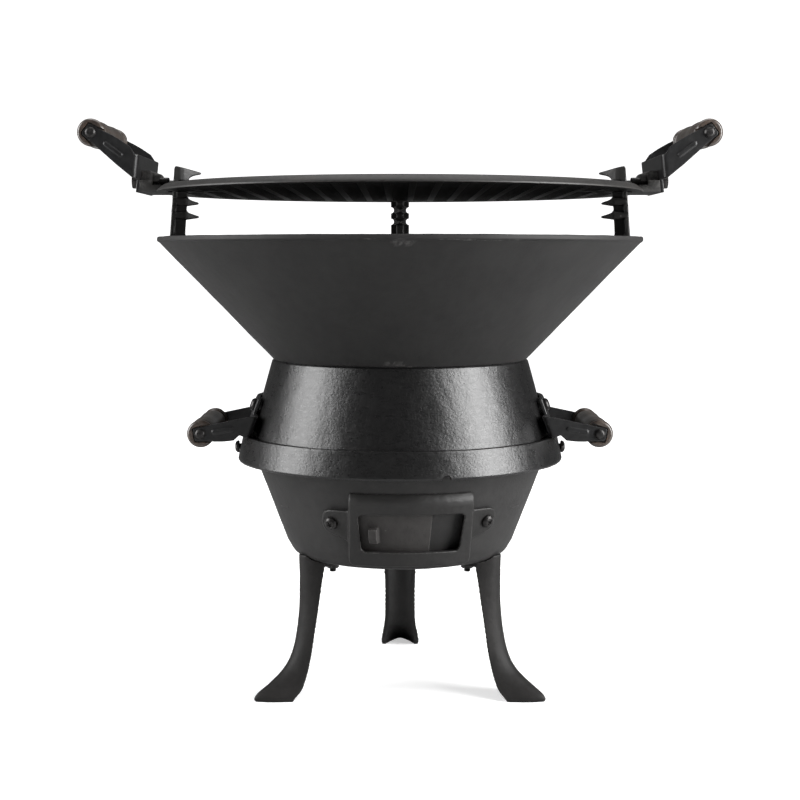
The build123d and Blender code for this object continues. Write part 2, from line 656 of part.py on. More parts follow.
# halves of plan outlines (radius, sideways)
TOOTH_PLAN_HALF = [(180, -5.4), (159.5, -5.2), (157.5, -4.6), (151.0, -1.9), (149.8, -1.2),
                   (149.3, 0)]
CAP_PLAN_HALF = [(180, -POST_HALF), (163.0, -POST_HALF), (160.0, -7.0), (150.5, -2.4),
                 (148.0, -1.5), (147.2, 0)]


def post_out(z):
    """Outer face of the plate, leaning inwards."""
    return 170.8 - (z - 340.0) * 0.0816


def post_in(z):
    """Inner edge of the web."""
    return 159.7 - (z - 340.0) * 0.0667


def off_cone(z, distance):
    """Point at height z on the line this far off the cone's inner face."""
    return (cone_in(z) - distance / COS_CONE, z)


def foot_point(down, off):
    return shift(FOOT, (DOWN_WALL, down), (OFF_WALL, off))


def tooth(z):
    """A ledge as deep as the post, drawn out to a blunt point."""
    root = post_in(z)
    back = post_out(z) - 1.2
    side = slab([(back, z + 2.4), (root + 1.0, z + 2.6), (root - 0.6, z + 3.4),
                 (root - 1.0, z + 2.4), (root - 2.0, z + 1.7), (154.3, z + 0.9),
                 (150.2, z - 0.3), (149.5, z - 0.8), (149.4, z - 1.3), (150.1, z - 1.9),
                 (154.3, z - 2.5), (root - 0.8, z - 3.0), (root + 1.0, z - 2.5),
                 (back, z - 2.3)], POST_W)
    return side & plan(mirror_y(TOOTH_PLAN_HALF), 330, 400)


def post_cap():
    """Beaked top of the post."""
    side = slab([(post_out(389.2), 389.2), (post_out(389.8) - 0.8, 389.8), (163.6, 389.5),
                 (156.5, 387.7), (151.0, 386.4), (148.2, 385.7), (147.3, 385.1), (147.5, 384.4),
                 (148.6, 383.9), (152.4, 383.3), (154.8, 382.4), (156.2, 381.2), (156.9, 379.6),
                 (post_out(379.6), 379.6)], POST_W)
    return side & plan(mirror_y(CAP_PLAN_HALF), 330, 400)


def make_post():
    """Post on the +X side."""
    plate = slab([(post_out(340.0), 340.0), (post_out(386.0), 386.0),
                  (post_out(386.0) - PLATE_T, 386.0), (post_out(341.5) - PLATE_T, 341.5),
                  (164.6, 338.2), off_cone(334.0, FOOT_GAP + FOOT_T),
                  foot_point(11.5, FOOT_GAP + FOOT_T), foot_point(12.0, FOOT_GAP + 3.8),
                  foot_point(12.0, FOOT_GAP), off_cone(335.8, FOOT_GAP), (169.9, 338.0)], POST_W)
    web = slab([(post_out(342.0) - 1.0, 342.0), (post_out(386.0) - 1.0, 386.0),
                (post_in(386.0), 386.0), (post_in(341.0), 341.0), (158.6, 335.6),
                (161.0, 334.6), (166.0, 338.6)], WEB_W)
    post = plate + web
    for z in TOOTH_LEVELS:
        post = post + tooth(z)
    post = post + post_cap()
    # scallops in the plate's edges, one pair at each tooth, that hold the grate's slot edges
    for z in TOOTH_LEVELS:
        for side in (-1, 1):
            post = post - Pos(168, side * POST_HALF, z) * Rot(0, 90, 0) * Cylinder(2.6, 14)
    return post - pin(on_foot_screw(0), in_xz(OFF_WALL), M6_HOLE, 30)


post = make_post()
post_screw = placed(on_foot_screw(FOOT_GAP + FOOT_T + 0.02), in_xz(OFF_WALL),
                    pan_screw(M6, 5.6, 3.8, 10.6), x_dir=in_xz(DOWN_WALL))
for post_name, az in GRATE_POSTS.items():
    save(post_name, Rot(0, 0, az) * post)
save("post_screws", *[Rot(0, 0, az) * post_screw for az in GRATE_POSTS.values()])


# ------------------------------------------------------------------ cooking grate
def lug_face_x(z):
    """Outer face of the grate's handle lug, just inside the bracket's web."""
    normal, _ = web_axes(GRATE_LEAN)
    web_x = GRATE_WEB[0] - normal[0] * SHEET / 2
    web_z = GRATE_WEB[1] - normal[2] * SHEET / 2
    return web_x - math.tan(math.radians(GRATE_LEAN)) * (z - web_z) - GAP


def near_post(x, y):
    """True where the grate stays solid around a post's slot."""
    for az in GRATE_POSTS.values():
        angle = math.radians(az)
        radial = x * math.cos(angle) + y * math.sin(angle)
        sideways = -x * math.sin(angle) + y * math.cos(angle)
        if radial > 139.0 and -21.0 < sideways < 21.0:
            return True
    return False


def grate_openings():
    """Square openings, trimmed at the edge to a circle; slivers are left out."""
    size = GRATE_PITCH - GRATE_BAR
    circle = Circle(GRATE_OPEN_R)
    cuts = []
    for i in range(-10, 11):
        for j in range(-10, 11):
            x, y = i * GRATE_PITCH, j * GRATE_PITCH
            far = math.hypot(abs(x) + size / 2, abs(y) + size / 2)
            near = math.hypot(max(abs(x) - size / 2, 0), max(abs(y) - size / 2, 0))
            if near > GRATE_OPEN_R - 4 or near_post(x, y):
                continue
            opening = Pos(x, y) * Rectangle(size, size)
            if far > GRATE_OPEN_R:
                opening = opening & circle
            for face in opening.faces():
                if face.area > 12:
                    cuts.append(extrude(Pos(0, 0, GRATE_Z - 1) * face, amount=GRATE_T + 2))
    return cuts


def handle_lug():
    """A tongue out of the rim and an upright plate."""
    lug = slab([(174.0, GRATE_Z), (lug_face_x(GRATE_Z), GRATE_Z), (lug_face_x(387.0), 387.0),
                (182.5, 387.0), (181.0, 385.5), (181.0, GRATE_TOP), (174.0, GRATE_TOP)], 60)
    return lug - box(180.5, 195, 27, 40, 380, 390) - box(180.5, 195, -40, -27, 380, 390)


def make_grate():
    grate = rev([(0, GRATE_Z), (GRATE_R, GRATE_Z), (GRATE_R, GRATE_Z + 0.9),
                 (GRATE_R - 0.7, GRATE_Z + 1.8), (GRATE_R - 4.6, GRATE_TOP - 0.3),
                 (GRATE_R - 5.4, GRATE_TOP), (0, GRATE_TOP)])
    grate = grate - grate_openings()
    lug = handle_lug()
    grate = grate + lug
    grate = grate + left(lug)
    for az in GRATE_POSTS.values():
        grate = grate - Rot(0, 0, az) * box(145.6, 171.7, -POST_HALF - 0.8, POST_HALF + 0.8,
                                            365, 385)
    # bolt holes, each with a recess for the nut
    holes = joined([pin((195, y, GRATE_BOLT_Z), (-1, 0, 0), M6_HOLE, 30)
                    + box(166, 181.0, y - 7.2, y + 7.2, GRATE_Z + 2.4, 386)
                    for y in (-BOLT_Y, BOLT_Y)])
    return grate - holes - left(holes)


save("cooking_grate", make_grate())

grate_bracket = bracket(GRATE_WEB, GRATE_LEAN, GRATE_GRIP, -18.1, 8.5)
web_outer_x = lug_face_x(GRATE_BOLT_Z) + GAP + SHEET / web_axes(GRATE_LEAN)[0][0]
head_x = web_outer_x + 0.62      # underside of the bolt heads
grate_bolts, grate_nuts = [], []
for y in (-BOLT_Y, BOLT_Y):
    grate_bracket = grate_bracket - pin((200, y, GRATE_BOLT_Z), (-1, 0, 0), M6_HOLE, 30)
    grate_bolts.append(placed((head_x, y, GRATE_BOLT_Z), (1, 0, 0),
                              hex_bolt(M6, 10.0, 4.0, head_x - 170.0)))
    grate_nuts.append(placed((180.95, y, GRATE_BOLT_Z), (1, 0, 0), hex_nut(*M6_NUT)))
save_pair("grate_handle_bracket", grate_bracket)
save_pair("grate_handle_grip", make_grip(GRATE_WEB, GRATE_GRIP))
save_pair("grate_handle_rod", make_rod(GRATE_GRIP))
save_both("grate_handle_bolts", grate_bolts)
save_both("grate_handle_nuts", grate_nuts)


# ------------------------------------------------------------------ charcoal grate
def make_coal_grate():
    """Disc with rows of round-ended slots either side of a middle bar."""
    slot_r, pitch, start = 4.0, 15.5, 4.0
    middle_z = COAL_Z + COAL_T / 2
    slots = []
    for j in range(-4, 5):
        y = j * pitch
        end = math.sqrt((COAL_R - 9) ** 2 - (abs(y) + slot_r) ** 2)
        x0, x1 = start + slot_r, end - slot_r
        slot = box(x0, x1, y - slot_r, y + slot_r, COAL_Z - 1, COAL_Z + COAL_T + 1)
        for x in (x0, x1):
            slot = slot + Pos(x, y, middle_z) * Cylinder(slot_r, COAL_T + 2)
        slots += [left(slot), slot]
    return Pos(0, 0, middle_z) * Cylinder(COAL_R, COAL_T) - slots


save("charcoal_grate", make_coal_grate())
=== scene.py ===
"""Cast-iron charcoal stove: a lower bowl on three legs, a body ring and a wind cone on top of it,
two grates, an air vent, and strap handles with wooden grips on both sides.

It stands on z = 0, centred on the Z axis, with its front towards -Y and its right towards +X.
Shapes are in millimetres and become metres when a mesh is made. Azimuths are in degrees,
counted from +X towards +Y. Stage, lights and camera are in metres.
"""
import bpy
import bmesh
import math
import numpy as np
from mathutils import Vector, Matrix, noise


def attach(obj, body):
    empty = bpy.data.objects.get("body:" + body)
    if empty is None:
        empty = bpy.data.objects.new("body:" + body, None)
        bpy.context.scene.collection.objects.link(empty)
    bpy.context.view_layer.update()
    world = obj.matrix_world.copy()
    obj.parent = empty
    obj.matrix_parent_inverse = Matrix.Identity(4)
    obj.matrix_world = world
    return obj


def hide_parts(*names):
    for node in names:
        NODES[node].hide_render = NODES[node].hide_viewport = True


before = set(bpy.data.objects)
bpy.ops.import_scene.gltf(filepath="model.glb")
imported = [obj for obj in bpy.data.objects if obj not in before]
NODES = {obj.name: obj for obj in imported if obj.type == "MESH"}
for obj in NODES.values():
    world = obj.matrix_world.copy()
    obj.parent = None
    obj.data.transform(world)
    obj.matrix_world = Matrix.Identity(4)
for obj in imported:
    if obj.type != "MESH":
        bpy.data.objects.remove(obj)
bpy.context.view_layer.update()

MM = 0.001
SCENE = bpy.context.scene

# ---------------------------------------------------------------- shared sizes (mm)
# Slopes are radius gained per mm of height. Walls are measured along the radius.
SEGMENTS = 480       # around the large castings
NECK_Z = 248.0                         # joint between body ring and wind cone
NECK_R, CONE_Z0 = 96.5, 249.0          # outer radius of the cone at height CONE_Z0
CONE_SLOPE, CONE_WALL = 0.957, 4.84
RIM_R, RIM_Z0, RIM_Z1 = 180.3, 335.2, 338.9
BOWL_R0, BOWL_Z0 = 83.9, 107.0         # outer radius of the bowl at height BOWL_Z0
BOWL_SLOPE, BOWL_WALL = 0.379, 4.8
BOWL_BOTTOM, BOWL_FLOOR = 101.5, 106.5
BOWL_BASE_R, BOWL_CORNER_R = 74.6, 9.0  # flat base, and the arc from it up to the wall
VENT_AZ = -90 + 4.7
LEG_AZ = {"leg_rear": 90.0, "leg_front_left": 210.0, "leg_front_right": 330.0}


def bowl_r(z):
    return BOWL_R0 + (z - BOWL_Z0) * BOWL_SLOPE


def cone_r(z):
    return NECK_R + (z - CONE_Z0) * CONE_SLOPE


def cone_inner_z(r):
    return CONE_Z0 + (r - NECK_R + CONE_WALL) / CONE_SLOPE


# Grate posts stand on pads on the inside of the cone, square to its wall
POST_AZ = (90.0, 190.0, 350.0)
FOOT_R = 160.5
FOOT_Z = cone_inner_z(FOOT_R)
WALL_RISE = 1.0 / math.hypot(1.0, CONE_SLOPE)
WALL_RUN = CONE_SLOPE * WALL_RISE
WALL_NORMAL = (-WALL_RISE, 0.0, WALL_RUN)

# Handles on the right, mirrored to the left: points are (x, z)
SIDE_STRAP, SIDE_GRIP = (113.3, 201.0), (145.8, 195.5)
GRATE_STRAP, GRATE_GRIP = (189.5, 389.0), (221.5, 413.0)
HANDLES = (("side_handle", "base", SIDE_STRAP, SIDE_GRIP),
           ("grate_handle", "grate", GRATE_STRAP, GRATE_GRIP))
STRAP_LEAN = 20.0                      # degrees the side strap's normal tilts up from +X
STRAP_THICK = 2.5
STRAP_HALF_WIDTH, STRAP_INSET, STRAP_BEND_R = 46.0, 4.0, 2.75
STRAP_ARC = 15.0                       # degrees from the strap's middle to its bends
STRAP_R = ((STRAP_HALF_WIDTH - STRAP_INSET - STRAP_BEND_R * math.cos(math.radians(270 + STRAP_ARC)))
           / math.sin(math.radians(STRAP_ARC)))


def side_screw_sites():
    """(point, outward normal, side) of the four side handle screws, behind the strap."""
    lean = math.radians(STRAP_LEAN)
    out = Vector((math.cos(lean), 0, math.sin(lean)))
    up = Vector((-math.sin(lean), 0, math.cos(lean)))
    screw_y, screw_up = 20.0, 14.5
    inner_r = STRAP_R - STRAP_THICK / 2
    sites = []
    for end in (-1, 1):
        turn = end * math.asin(screw_y / STRAP_R)
        point = (Vector((SIDE_STRAP[0], inner_r * math.sin(turn), SIDE_STRAP[1]))
                 + up * screw_up + out * (inner_r * math.cos(turn) - STRAP_R))
        normal = Vector((out.x * math.cos(turn), math.sin(turn), out.z * math.cos(turn)))
        for side in (1, -1):
            sites.append((Vector((point.x * side, point.y, point.z)),
                          Vector((normal.x * side, normal.y, normal.z)), side))
    return sites


SIDE_SITES = side_screw_sites()


# ---------------------------------------------------------------- outlines
def fillet(points, closed=True, steps=4):
    """Points (x, y, radius): corners with a radius become arcs of steps + 1 points."""
    out = []
    count = len(points)
    for i, (x, y, radius) in enumerate(points):
        if radius <= 0 or (not closed and i in (0, count - 1)):
            out.append((x, y))
            continue
        corner = np.array([x, y])
        back = np.array(points[i - 1][:2]) - corner
        ahead = np.array(points[(i + 1) % count][:2]) - corner
        back_len, ahead_len = np.linalg.norm(back), np.linalg.norm(ahead)
        back, ahead = back / back_len, ahead / ahead_len
        angle = math.acos(max(-1, min(1, float(back @ ahead))))
        if angle > math.pi - 1e-3:
            out.append((x, y))
            continue
        trim = min(radius / math.tan(angle / 2), back_len * 0.48, ahead_len * 0.48)
        radius = trim * math.tan(angle / 2)
        middle = (back + ahead) / np.linalg.norm(back + ahead)
        centre = corner + middle * (radius / math.sin(angle / 2))
        start, end = corner + back * trim - centre, corner + ahead * trim - centre
        start_angle, end_angle = math.atan2(start[1], start[0]), math.atan2(end[1], end[0])
        sweep = (end_angle - start_angle + math.pi) % (2 * math.pi) - math.pi
        for k in range(steps + 1):
            t = start_angle + sweep * k / steps
            out.append((centre[0] + radius * math.cos(t), centre[1] + radius * math.sin(t)))
    return out


def resample(points, step, closed=True):
    """Splits each side into equal parts no longer than step."""
    out = []
    count = len(points)
    for i in range(count if closed else count - 1):
        x0, y0 = points[i]
        x1, y1 = points[(i + 1) % count]
        parts = max(1, int(math.ceil(math.hypot(x1 - x0, y1 - y0) / step)))
        for j in range(parts):
            out.append((x0 + (x1 - x0) * j / parts, y0 + (y1 - y0) * j / parts))
    if not closed:
        out.append(points[-1])
    return out


def outline(points, step, closed=True, steps=4):
    return resample(fillet(points, closed, steps), step, closed)


def polar(radius, azimuth, z):
    angle = math.radians(azimuth)
    return (radius * math.cos(angle), radius * math.sin(angle), z)


def rotation(degrees, axis="Z"):
    return Matrix.Rotation(math.radians(degrees), 4, axis)


# ---------------------------------------------------------------- solids
def new_object(name, data):
    obj = bpy.data.objects.new(name, data)
    SCENE.collection.objects.link(obj)
    return obj


def new_mesh(name, verts, faces, scale=MM):
    mesh = bpy.data.meshes.new(name)
    mesh.from_pydata([(x * scale, y * scale, z * scale) for x, y, z in verts], [], faces)
    mesh.update()
    return mesh


def solid(name, verts, faces):
    """Closed mesh object with its normals turned outwards."""
    obj = new_object(name, new_mesh(name, verts, faces))
    bm = bmesh.new()
    bm.from_mesh(obj.data)
    bmesh.ops.recalc_face_normals(bm, faces=bm.faces)
    if bm.calc_volume(signed=True) < 0:
        bmesh.ops.reverse_faces(bm, faces=bm.faces)
    bm.to_mesh(obj.data)
    bm.free()
    return obj


def lathe(name, profile, segments):
    """Closed profile of (radius, height) turned about Z. Points on the axis become poles."""
    verts, faces, rows = [], [], []
    for r, z in profile:
        if r < 1e-6:
            rows.append([len(verts)])
            verts.append((0, 0, z))
        else:
            rows.append(list(range(len(verts), len(verts) + segments)))
            for k in range(segments):
                angle = 2 * math.pi * k / segments
                verts.append((r * math.cos(angle), r * math.sin(angle), z))
    for i, row in enumerate(rows):
        after = rows[(i + 1) % len(rows)]
        if len(row) == 1 and len(after) == 1:
            continue
        for k in range(segments):
            j = (k + 1) % segments
            if len(row) == 1:
                faces.append((row[0], after[k], after[j]))
            elif len(after) == 1:
                faces.append((row[k], after[0], row[j]))
            else:
                faces.append((row[k], after[k], after[j], row[j]))
    return solid(name, verts, faces)


def prism(name, points, low, high, axis="Z"):
    """Extruded outline. Points are (x, y) for axis Z and (x, z) for axis Y."""
    count = len(points)
    verts = [(x, y, w) if axis == "Z" else (x, w, y) for w in (low, high) for x, y in points]
    faces = [tuple(range(count)), tuple(range(2 * count - 1, count - 1, -1))]
    for i in range(count):
        j = (i + 1) % count
        faces.append((i, j, count + j, count + i))
    return solid(name, verts, faces)


def tube_faces(spans, count):
    """Side faces between spans + 1 successive loops of count vertices."""
    faces = []
    for k in range(spans):
        for i in range(count):
            j = (i + 1) % count
            faces.append((k * count + i, k * count + j,
                          (k + 1) * count + j, (k + 1) * count + i))
    return faces


def capped_tube(name, verts, spans, count):
    faces = tube_faces(spans, count)
    faces.append(tuple(range(count)))
    faces.append(tuple(spans * count + i for i in range(count - 1, -1, -1)))
    return solid(name, verts, faces)


def ring_sector(name, profile, start, end, spans):
    """Closed (radius, height) profile swept about Z between two azimuths."""
    verts = [polar(r, start + (end - start) * k / spans, z)
             for k in range(spans + 1) for r, z in profile]
    return capped_tube(name, verts, spans, len(profile))


# ---------------------------------------------------------------- mesh tools
def apply_modifiers(obj):
    depsgraph = bpy.context.evaluated_depsgraph_get()
    depsgraph.update()
    mesh = bpy.data.meshes.new_from_object(obj.evaluated_get(depsgraph))
    obj.modifiers.clear()
    old = obj.data
    obj.data = mesh
    bpy.data.meshes.remove(old)


def volume(mesh):
    bm = bmesh.new()
    bm.from_mesh(mesh)
    result = bm.calc_volume(signed=True)
    bm.free()
    return result


def drop(obj):
    mesh = obj.data
    bpy.data.objects.remove(obj)
    if mesh.users == 0:
        bpy.data.meshes.remove(mesh)


def boolean(obj, tool, operation="DIFFERENCE"):
    """Solid boolean that uses up the tool. The second solver runs if the first one's volume
    is out of range."""
    own, other = volume(obj.data), abs(volume(tool.data))
    low, high = {"UNION": (own - 0.02 * other, own + other * 1.02),
                 "DIFFERENCE": (own - other * 1.02, own + 0.02 * other),
                 "INTERSECT": (0.05 * own, own * 1.02)}[operation]
    source = obj.data.copy()
    for solver in ("MANIFOLD", "EXACT"):
        mod = obj.modifiers.new("boolean", "BOOLEAN")
        mod.operation = operation
        mod.object = tool
        mod.solver = solver
        apply_modifiers(obj)
        if low <= volume(obj.data) <= high and len(obj.data.polygons) > 10:
            break
        failed = obj.data
        obj.data = source.copy()
        bpy.data.meshes.remove(failed)
    else:
        raise RuntimeError("boolean failed on " + obj.name)
    bpy.data.meshes.remove(source)
    drop(tool)


def join(name, objects):
    bm = bmesh.new()
    for obj in objects:
        mesh = obj.data.copy()
        mesh.transform(obj.matrix_world)
        bm.from_mesh(mesh)
        bpy.data.meshes.remove(mesh)
    mesh = bpy.data.meshes.new(name)
    bm.to_mesh(mesh)
    bm.free()
    for obj in objects:
        drop(obj)
    return new_object(name, mesh)


def voxel(obj, size, smoothing):
    """Voxel remesh followed by smoothing, which rounds all edges."""
    mod = obj.modifiers.new("voxel", "REMESH")
    mod.mode = "VOXEL"
    mod.voxel_size = size * MM
    mod = obj.modifiers.new("smooth", "SMOOTH")
    mod.factor = 0.5
    mod.iterations = smoothing
    apply_modifiers(obj)


def bevel(obj, width, angle=30):
    mod = obj.modifiers.new("bevel", "BEVEL")
    mod.width = width * MM
    mod.segments = 2
    mod.limit_method = "ANGLE"
    mod.angle_limit = math.radians(angle)
    apply_modifiers(obj)


def cast_skin(obj, layers, seed):
    """Moves vertices along their normals by noise layers of (amplitude, feature size)."""
    mesh = obj.data
    count = len(mesh.vertices)
    places, normals = np.empty(count * 3), np.empty(count * 3)
    mesh.vertices.foreach_get("co", places)
    mesh.vertices.foreach_get("normal", normals)
    places, normals = places.reshape(-1, 3), normals.reshape(-1, 3)
    height = np.zeros(count)
    offset = Vector((seed * 13.7, seed * 7.1, seed * 3.3))
    for amplitude, size in layers:
        freq = 1000.0 / size
        height += amplitude * np.fromiter(
            (noise.noise(Vector(place) * freq + offset) for place in places), float, count)
        offset = offset + Vector((31.4, 17.2, 5.9))
    places += normals * (height * MM)[:, None]
    mesh.vertices.foreach_set("co", places.ravel())
    mesh.update()


def place(obj, point, direction, spin=0.0):
    """Moves a piece built on Z so that +Z points along direction at point."""
    aim = Vector(direction).normalized().to_track_quat("Z", "Y").to_matrix().to_4x4()
    obj.data.transform(
        Matrix.Translation(Vector(point) * MM) @ aim @ Matrix.Rotation(spin, 4, "Z"))


def cad_copy(node, suffix):
    """Copy of a CAD piece with its vertices welded."""
    mesh = NODES[node].data.copy()
    obj = new_object(node + suffix, mesh)
    mesh.materials.clear()
    bm = bmesh.new()
    bm.from_mesh(mesh)
    bmesh.ops.remove_doubles(bm, verts=bm.verts, dist=1e-6)
    bm.to_mesh(mesh)
    bm.free()
    return obj


def mirrored(obj, name):
    mesh = obj.data.copy()
    mesh.transform(Matrix.Scale(-1, 4, (1, 0, 0)))
    mesh.flip_normals()
    return new_object(name, mesh)


def piece(obj, body, material, node, angle=32):
    """Finishes a piece: shading, material, and the CAD node it replaces."""
    obj.data.shade_smooth()
    obj.data.set_sharp_from_angle(angle=math.radians(angle))
    obj.data.materials.clear()
    obj.data.materials.append(material)
    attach(obj, body)
    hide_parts(node)


# ---------------------------------------------------------------- shader nodes
class ShaderNet:
    """A new material with a Principled BSDF, and methods that add nodes to it."""

    def __init__(self, name):
        self.material = bpy.data.materials.new(name)
        self.material.use_nodes = True
        self.tree = self.material.node_tree
        self.tree.nodes.clear()
        output = self.add("OutputMaterial")
        self.bsdf = self.add("BsdfPrincipled")
        self.put(output.inputs[0], self.bsdf.outputs[0])
        self.position = self.add("TexCoord").outputs["Object"]

    def add(self, kind, **settings):
        node = self.tree.nodes.new("ShaderNode" + kind)
        for key, value in settings.items():
            setattr(node, key, value)
        return node

    def put(self, socket, value):
        """Feeds an input from an output socket, an RGB tuple or a number."""
        if isinstance(value, bpy.types.NodeSocket):
            self.tree.links.new(value, socket)
        elif isinstance(value, tuple):
            socket.default_value = (*value, 1)
        else:
            socket.default_value = value

    def surface(self, **inputs):
        """Feeds BSDF inputs, with _ for the spaces in their names."""
        for key, value in inputs.items():
            self.put(self.bsdf.inputs[key.replace("_", " ")], value)

    def noise(self, size_mm, detail=4.0, rough=0.55, distortion=0.0, vector=None):
        node = self.add("TexNoise")
        node.inputs["Scale"].default_value = 1000.0 / size_mm
        node.inputs["Detail"].default_value = detail
        node.inputs["Roughness"].default_value = rough
        node.inputs["Distortion"].default_value = distortion
        self.put(node.inputs["Vector"], vector or self.position)
        return node.outputs["Fac"]

    def voronoi(self, size_mm):
        node = self.add("TexVoronoi")
        node.inputs["Scale"].default_value = 1000.0 / size_mm
        self.put(node.inputs["Vector"], self.position)
        return node.outputs["Distance"]

    def stretched(self, x, y, z):
        """Object position scaled per axis."""
        node = self.add("Mapping")
        node.inputs["Scale"].default_value = (x, y, z)
        self.put(node.inputs["Vector"], self.position)
        return node.outputs[0]

    def length(self, vector):
        node = self.add("VectorMath", operation="LENGTH")
        self.put(node.inputs[0], vector)
        return node.outputs["Value"]

    def ramp(self, fac, stops, interpolation="LINEAR"):
        """Colour ramp with stops of (position, grey or RGB)."""
        node = self.add("ValToRGB")
        node.color_ramp.interpolation = interpolation
        elements = node.color_ramp.elements
        while len(elements) < len(stops):
            elements.new(0.5)
        for element, (position, colour) in zip(elements, stops):
            element.position = position
            element.color = (*colour, 1) if isinstance(colour, tuple) else (*[colour] * 3, 1)
        self.put(node.inputs[0], fac)
        return node.outputs[0]

    def fade(self, fac, low, high):
        """0 below low, 1 above high."""
        return self.ramp(fac, [(low, 0.0), (high, 1.0)])

    def math(self, operation, first, second, clamp=False):
        node = self.add("Math", operation=operation, use_clamp=clamp)
        self.put(node.inputs[0], first)
        self.put(node.inputs[1], second)
        return node.outputs[0]

    def plus(self, first, second, clamp=False):
        return self.math("ADD", first, second, clamp)

    def minus(self, first, second, clamp=False):
        return self.math("SUBTRACT", first, second, clamp)

    def times(self, first, second):
        return self.math("MULTIPLY", first, second)

    def mix(self, fac, first, second):
        node = self.add("Mix", data_type="RGBA")
        for index, value in ((0, fac), (6, first), (7, second)):
            self.put(node.inputs[index], value)
        return node.outputs[2]

    def relief(self, layers):
        """Chained bumps of (height, strength, depth in mm), fed to the BSDF."""
        normal = None
        for height, strength, depth in layers:
            node = self.add("Bump")
            node.inputs["Strength"].default_value = strength
            node.inputs["Distance"].default_value = depth * MM
            self.put(node.inputs["Height"], height)
            if normal:
                self.put(node.inputs["Normal"], normal)
            normal = node.outputs[0]
        self.surface(Normal=normal)


# ---------------------------------------------------------------- materials
BARE_METAL = (0.16, 0.155, 0.15)
RUST = (0.085, 0.052, 0.036)


def cast_iron(name, dark, light, rough, specular, grain, pits, wear, rough_var=0.12,
              grain_mm=0.55, pit_mm=2.4, mottle=0.35, rust=0.0, painted_under_shade=0.0, painted_shade_radius=0.0,
              lumps=1.0, streaks=0.0):
    """Iron mottled between dark and light. grain, pits, wear, rust, lumps and streaks are
    strengths, and so is the painted shade on undersides and inner side faces. mottle is the
    softness of the mottling."""
    net = ShaderNet(name)
    broad = net.noise(38, detail=3)
    mid = net.noise(6.5, detail=5, rough=0.6)
    fine = net.noise(grain_mm, detail=3, rough=0.6)
    coarse = net.noise(grain_mm * 3.6, rough=0.62)

    # pits go down to 0, only where the patch mask lets them
    pit = net.ramp(net.voronoi(pit_mm), [(0.0, 0.0), (0.16, 0.25), (0.34, 1.0)], "EASE")
    patches = net.ramp(net.noise(pit_mm * 3.2, detail=2, rough=0.5), [(0.42, 1.0), (0.6, 0.0)])
    pitted = net.math("MAXIMUM", pit, patches)

    tone = net.plus(net.times(broad, 0.55), net.times(mid, 0.45))
    tone = net.fade(tone, 0.5 - mottle * 0.42, 0.5 + mottle * 0.42)
    colour = net.mix(tone, dark, light)
    pit_shade = net.times(net.minus(1.0, pitted), 0.35 * pits)
    colour = net.mix(pit_shade, colour, tuple(c * 0.45 for c in dark))

    geometry = net.add("NewGeometry")
    edge = net.fade(geometry.outputs["Pointiness"], 0.515, 0.58)
    edge = net.times(edge, net.fade(net.noise(3.0, rough=0.65), 0.38, 0.62))
    edge = net.times(edge, wear)
    colour = net.mix(edge, colour, BARE_METAL)
    if rust > 0:
        spots = net.fade(net.noise(22, detail=5, rough=0.6, distortion=0.4), 0.57, 0.72)
        colour = net.mix(net.times(spots, rust), colour, RUST)

    net.surface(Specular_IOR_Level=specular)
    if painted_under_shade > 0:
        # painted shade: faces turned down are darkened and lose specular, and so are side faces
        # within the given radius of the axis
        split = net.add("SeparateXYZ")
        net.put(split.inputs[0], geometry.outputs["Normal"])
        facing_up = split.outputs["Z"]
        black = net.fade(net.times(facing_up, -1.0), 0.10, 0.80)
        flat = net.add("VectorMath", operation="MULTIPLY")
        flat.inputs[1].default_value = (1.0, 1.0, 0.0)
        net.put(flat.inputs[0], net.position)
        inside = net.math("LESS_THAN", net.length(flat.outputs[0]), painted_shade_radius * MM)
        sideways = net.math("LESS_THAN", facing_up, 0.5)
        black = net.math("MAXIMUM", black, net.times(inside, sideways))
        black = net.times(black, painted_under_shade)
        colour = net.mix(black, colour, tuple(c * 0.3 for c in dark))
        net.surface(Specular_IOR_Level=net.minus(specular, net.times(black, specular * 0.8)))

    blend = net.plus(net.times(mid, 0.5), net.times(coarse, 0.5))
    roughness = net.plus(rough - rough_var / 2, net.times(blend, rough_var))
    roughness = net.minus(roughness, net.times(edge, 0.18), clamp=True)
    layers = []
    if streaks > 0:
        # thin marks that run round the casting
        marks = net.noise(1.3, detail=5, rough=0.65, distortion=0.4,
                          vector=net.stretched(0.22, 0.22, 1.0))
        change = net.times(net.minus(marks, 0.5), 0.35 * streaks)
        roughness = net.plus(roughness, change, clamp=True)
        layers.append((marks, 0.4 * streaks, 0.05))
    layers += [(coarse, 0.55 * grain, 0.10 * lumps), (fine, 0.6 * grain, 0.045),
               (pitted, 0.7 * pits, 0.16), (mid, 0.35 * grain, 0.25)]
    net.surface(Base_Color=colour, Roughness=roughness)
    net.relief(layers)
    return net.material


def strap_paint():
    """Black paint, rubbed through along the edges."""
    net = ShaderNet("strap_black")
    mid = net.noise(5.0, rough=0.6)
    peel = net.noise(0.8, detail=2, rough=0.5)
    scratches = net.noise(1.6, detail=6, rough=0.7, distortion=1.2)
    colour = net.mix(net.fade(mid, 0.35, 0.65), (0.0085, 0.0085, 0.0090), (0.0150, 0.0150, 0.0155))
    edge = net.fade(net.add("NewGeometry").outputs["Pointiness"], 0.52, 0.60)
    edge = net.times(edge, net.fade(scratches, 0.42, 0.6))
    colour = net.mix(net.times(edge, 0.5), colour, (0.17, 0.165, 0.16))
    net.surface(Base_Color=colour, Roughness=net.plus(0.31, net.times(mid, 0.12)),
                Specular_IOR_Level=0.5)
    net.relief([(peel, 0.35, 0.03), (mid, 0.25, 0.10)])
    return net.material


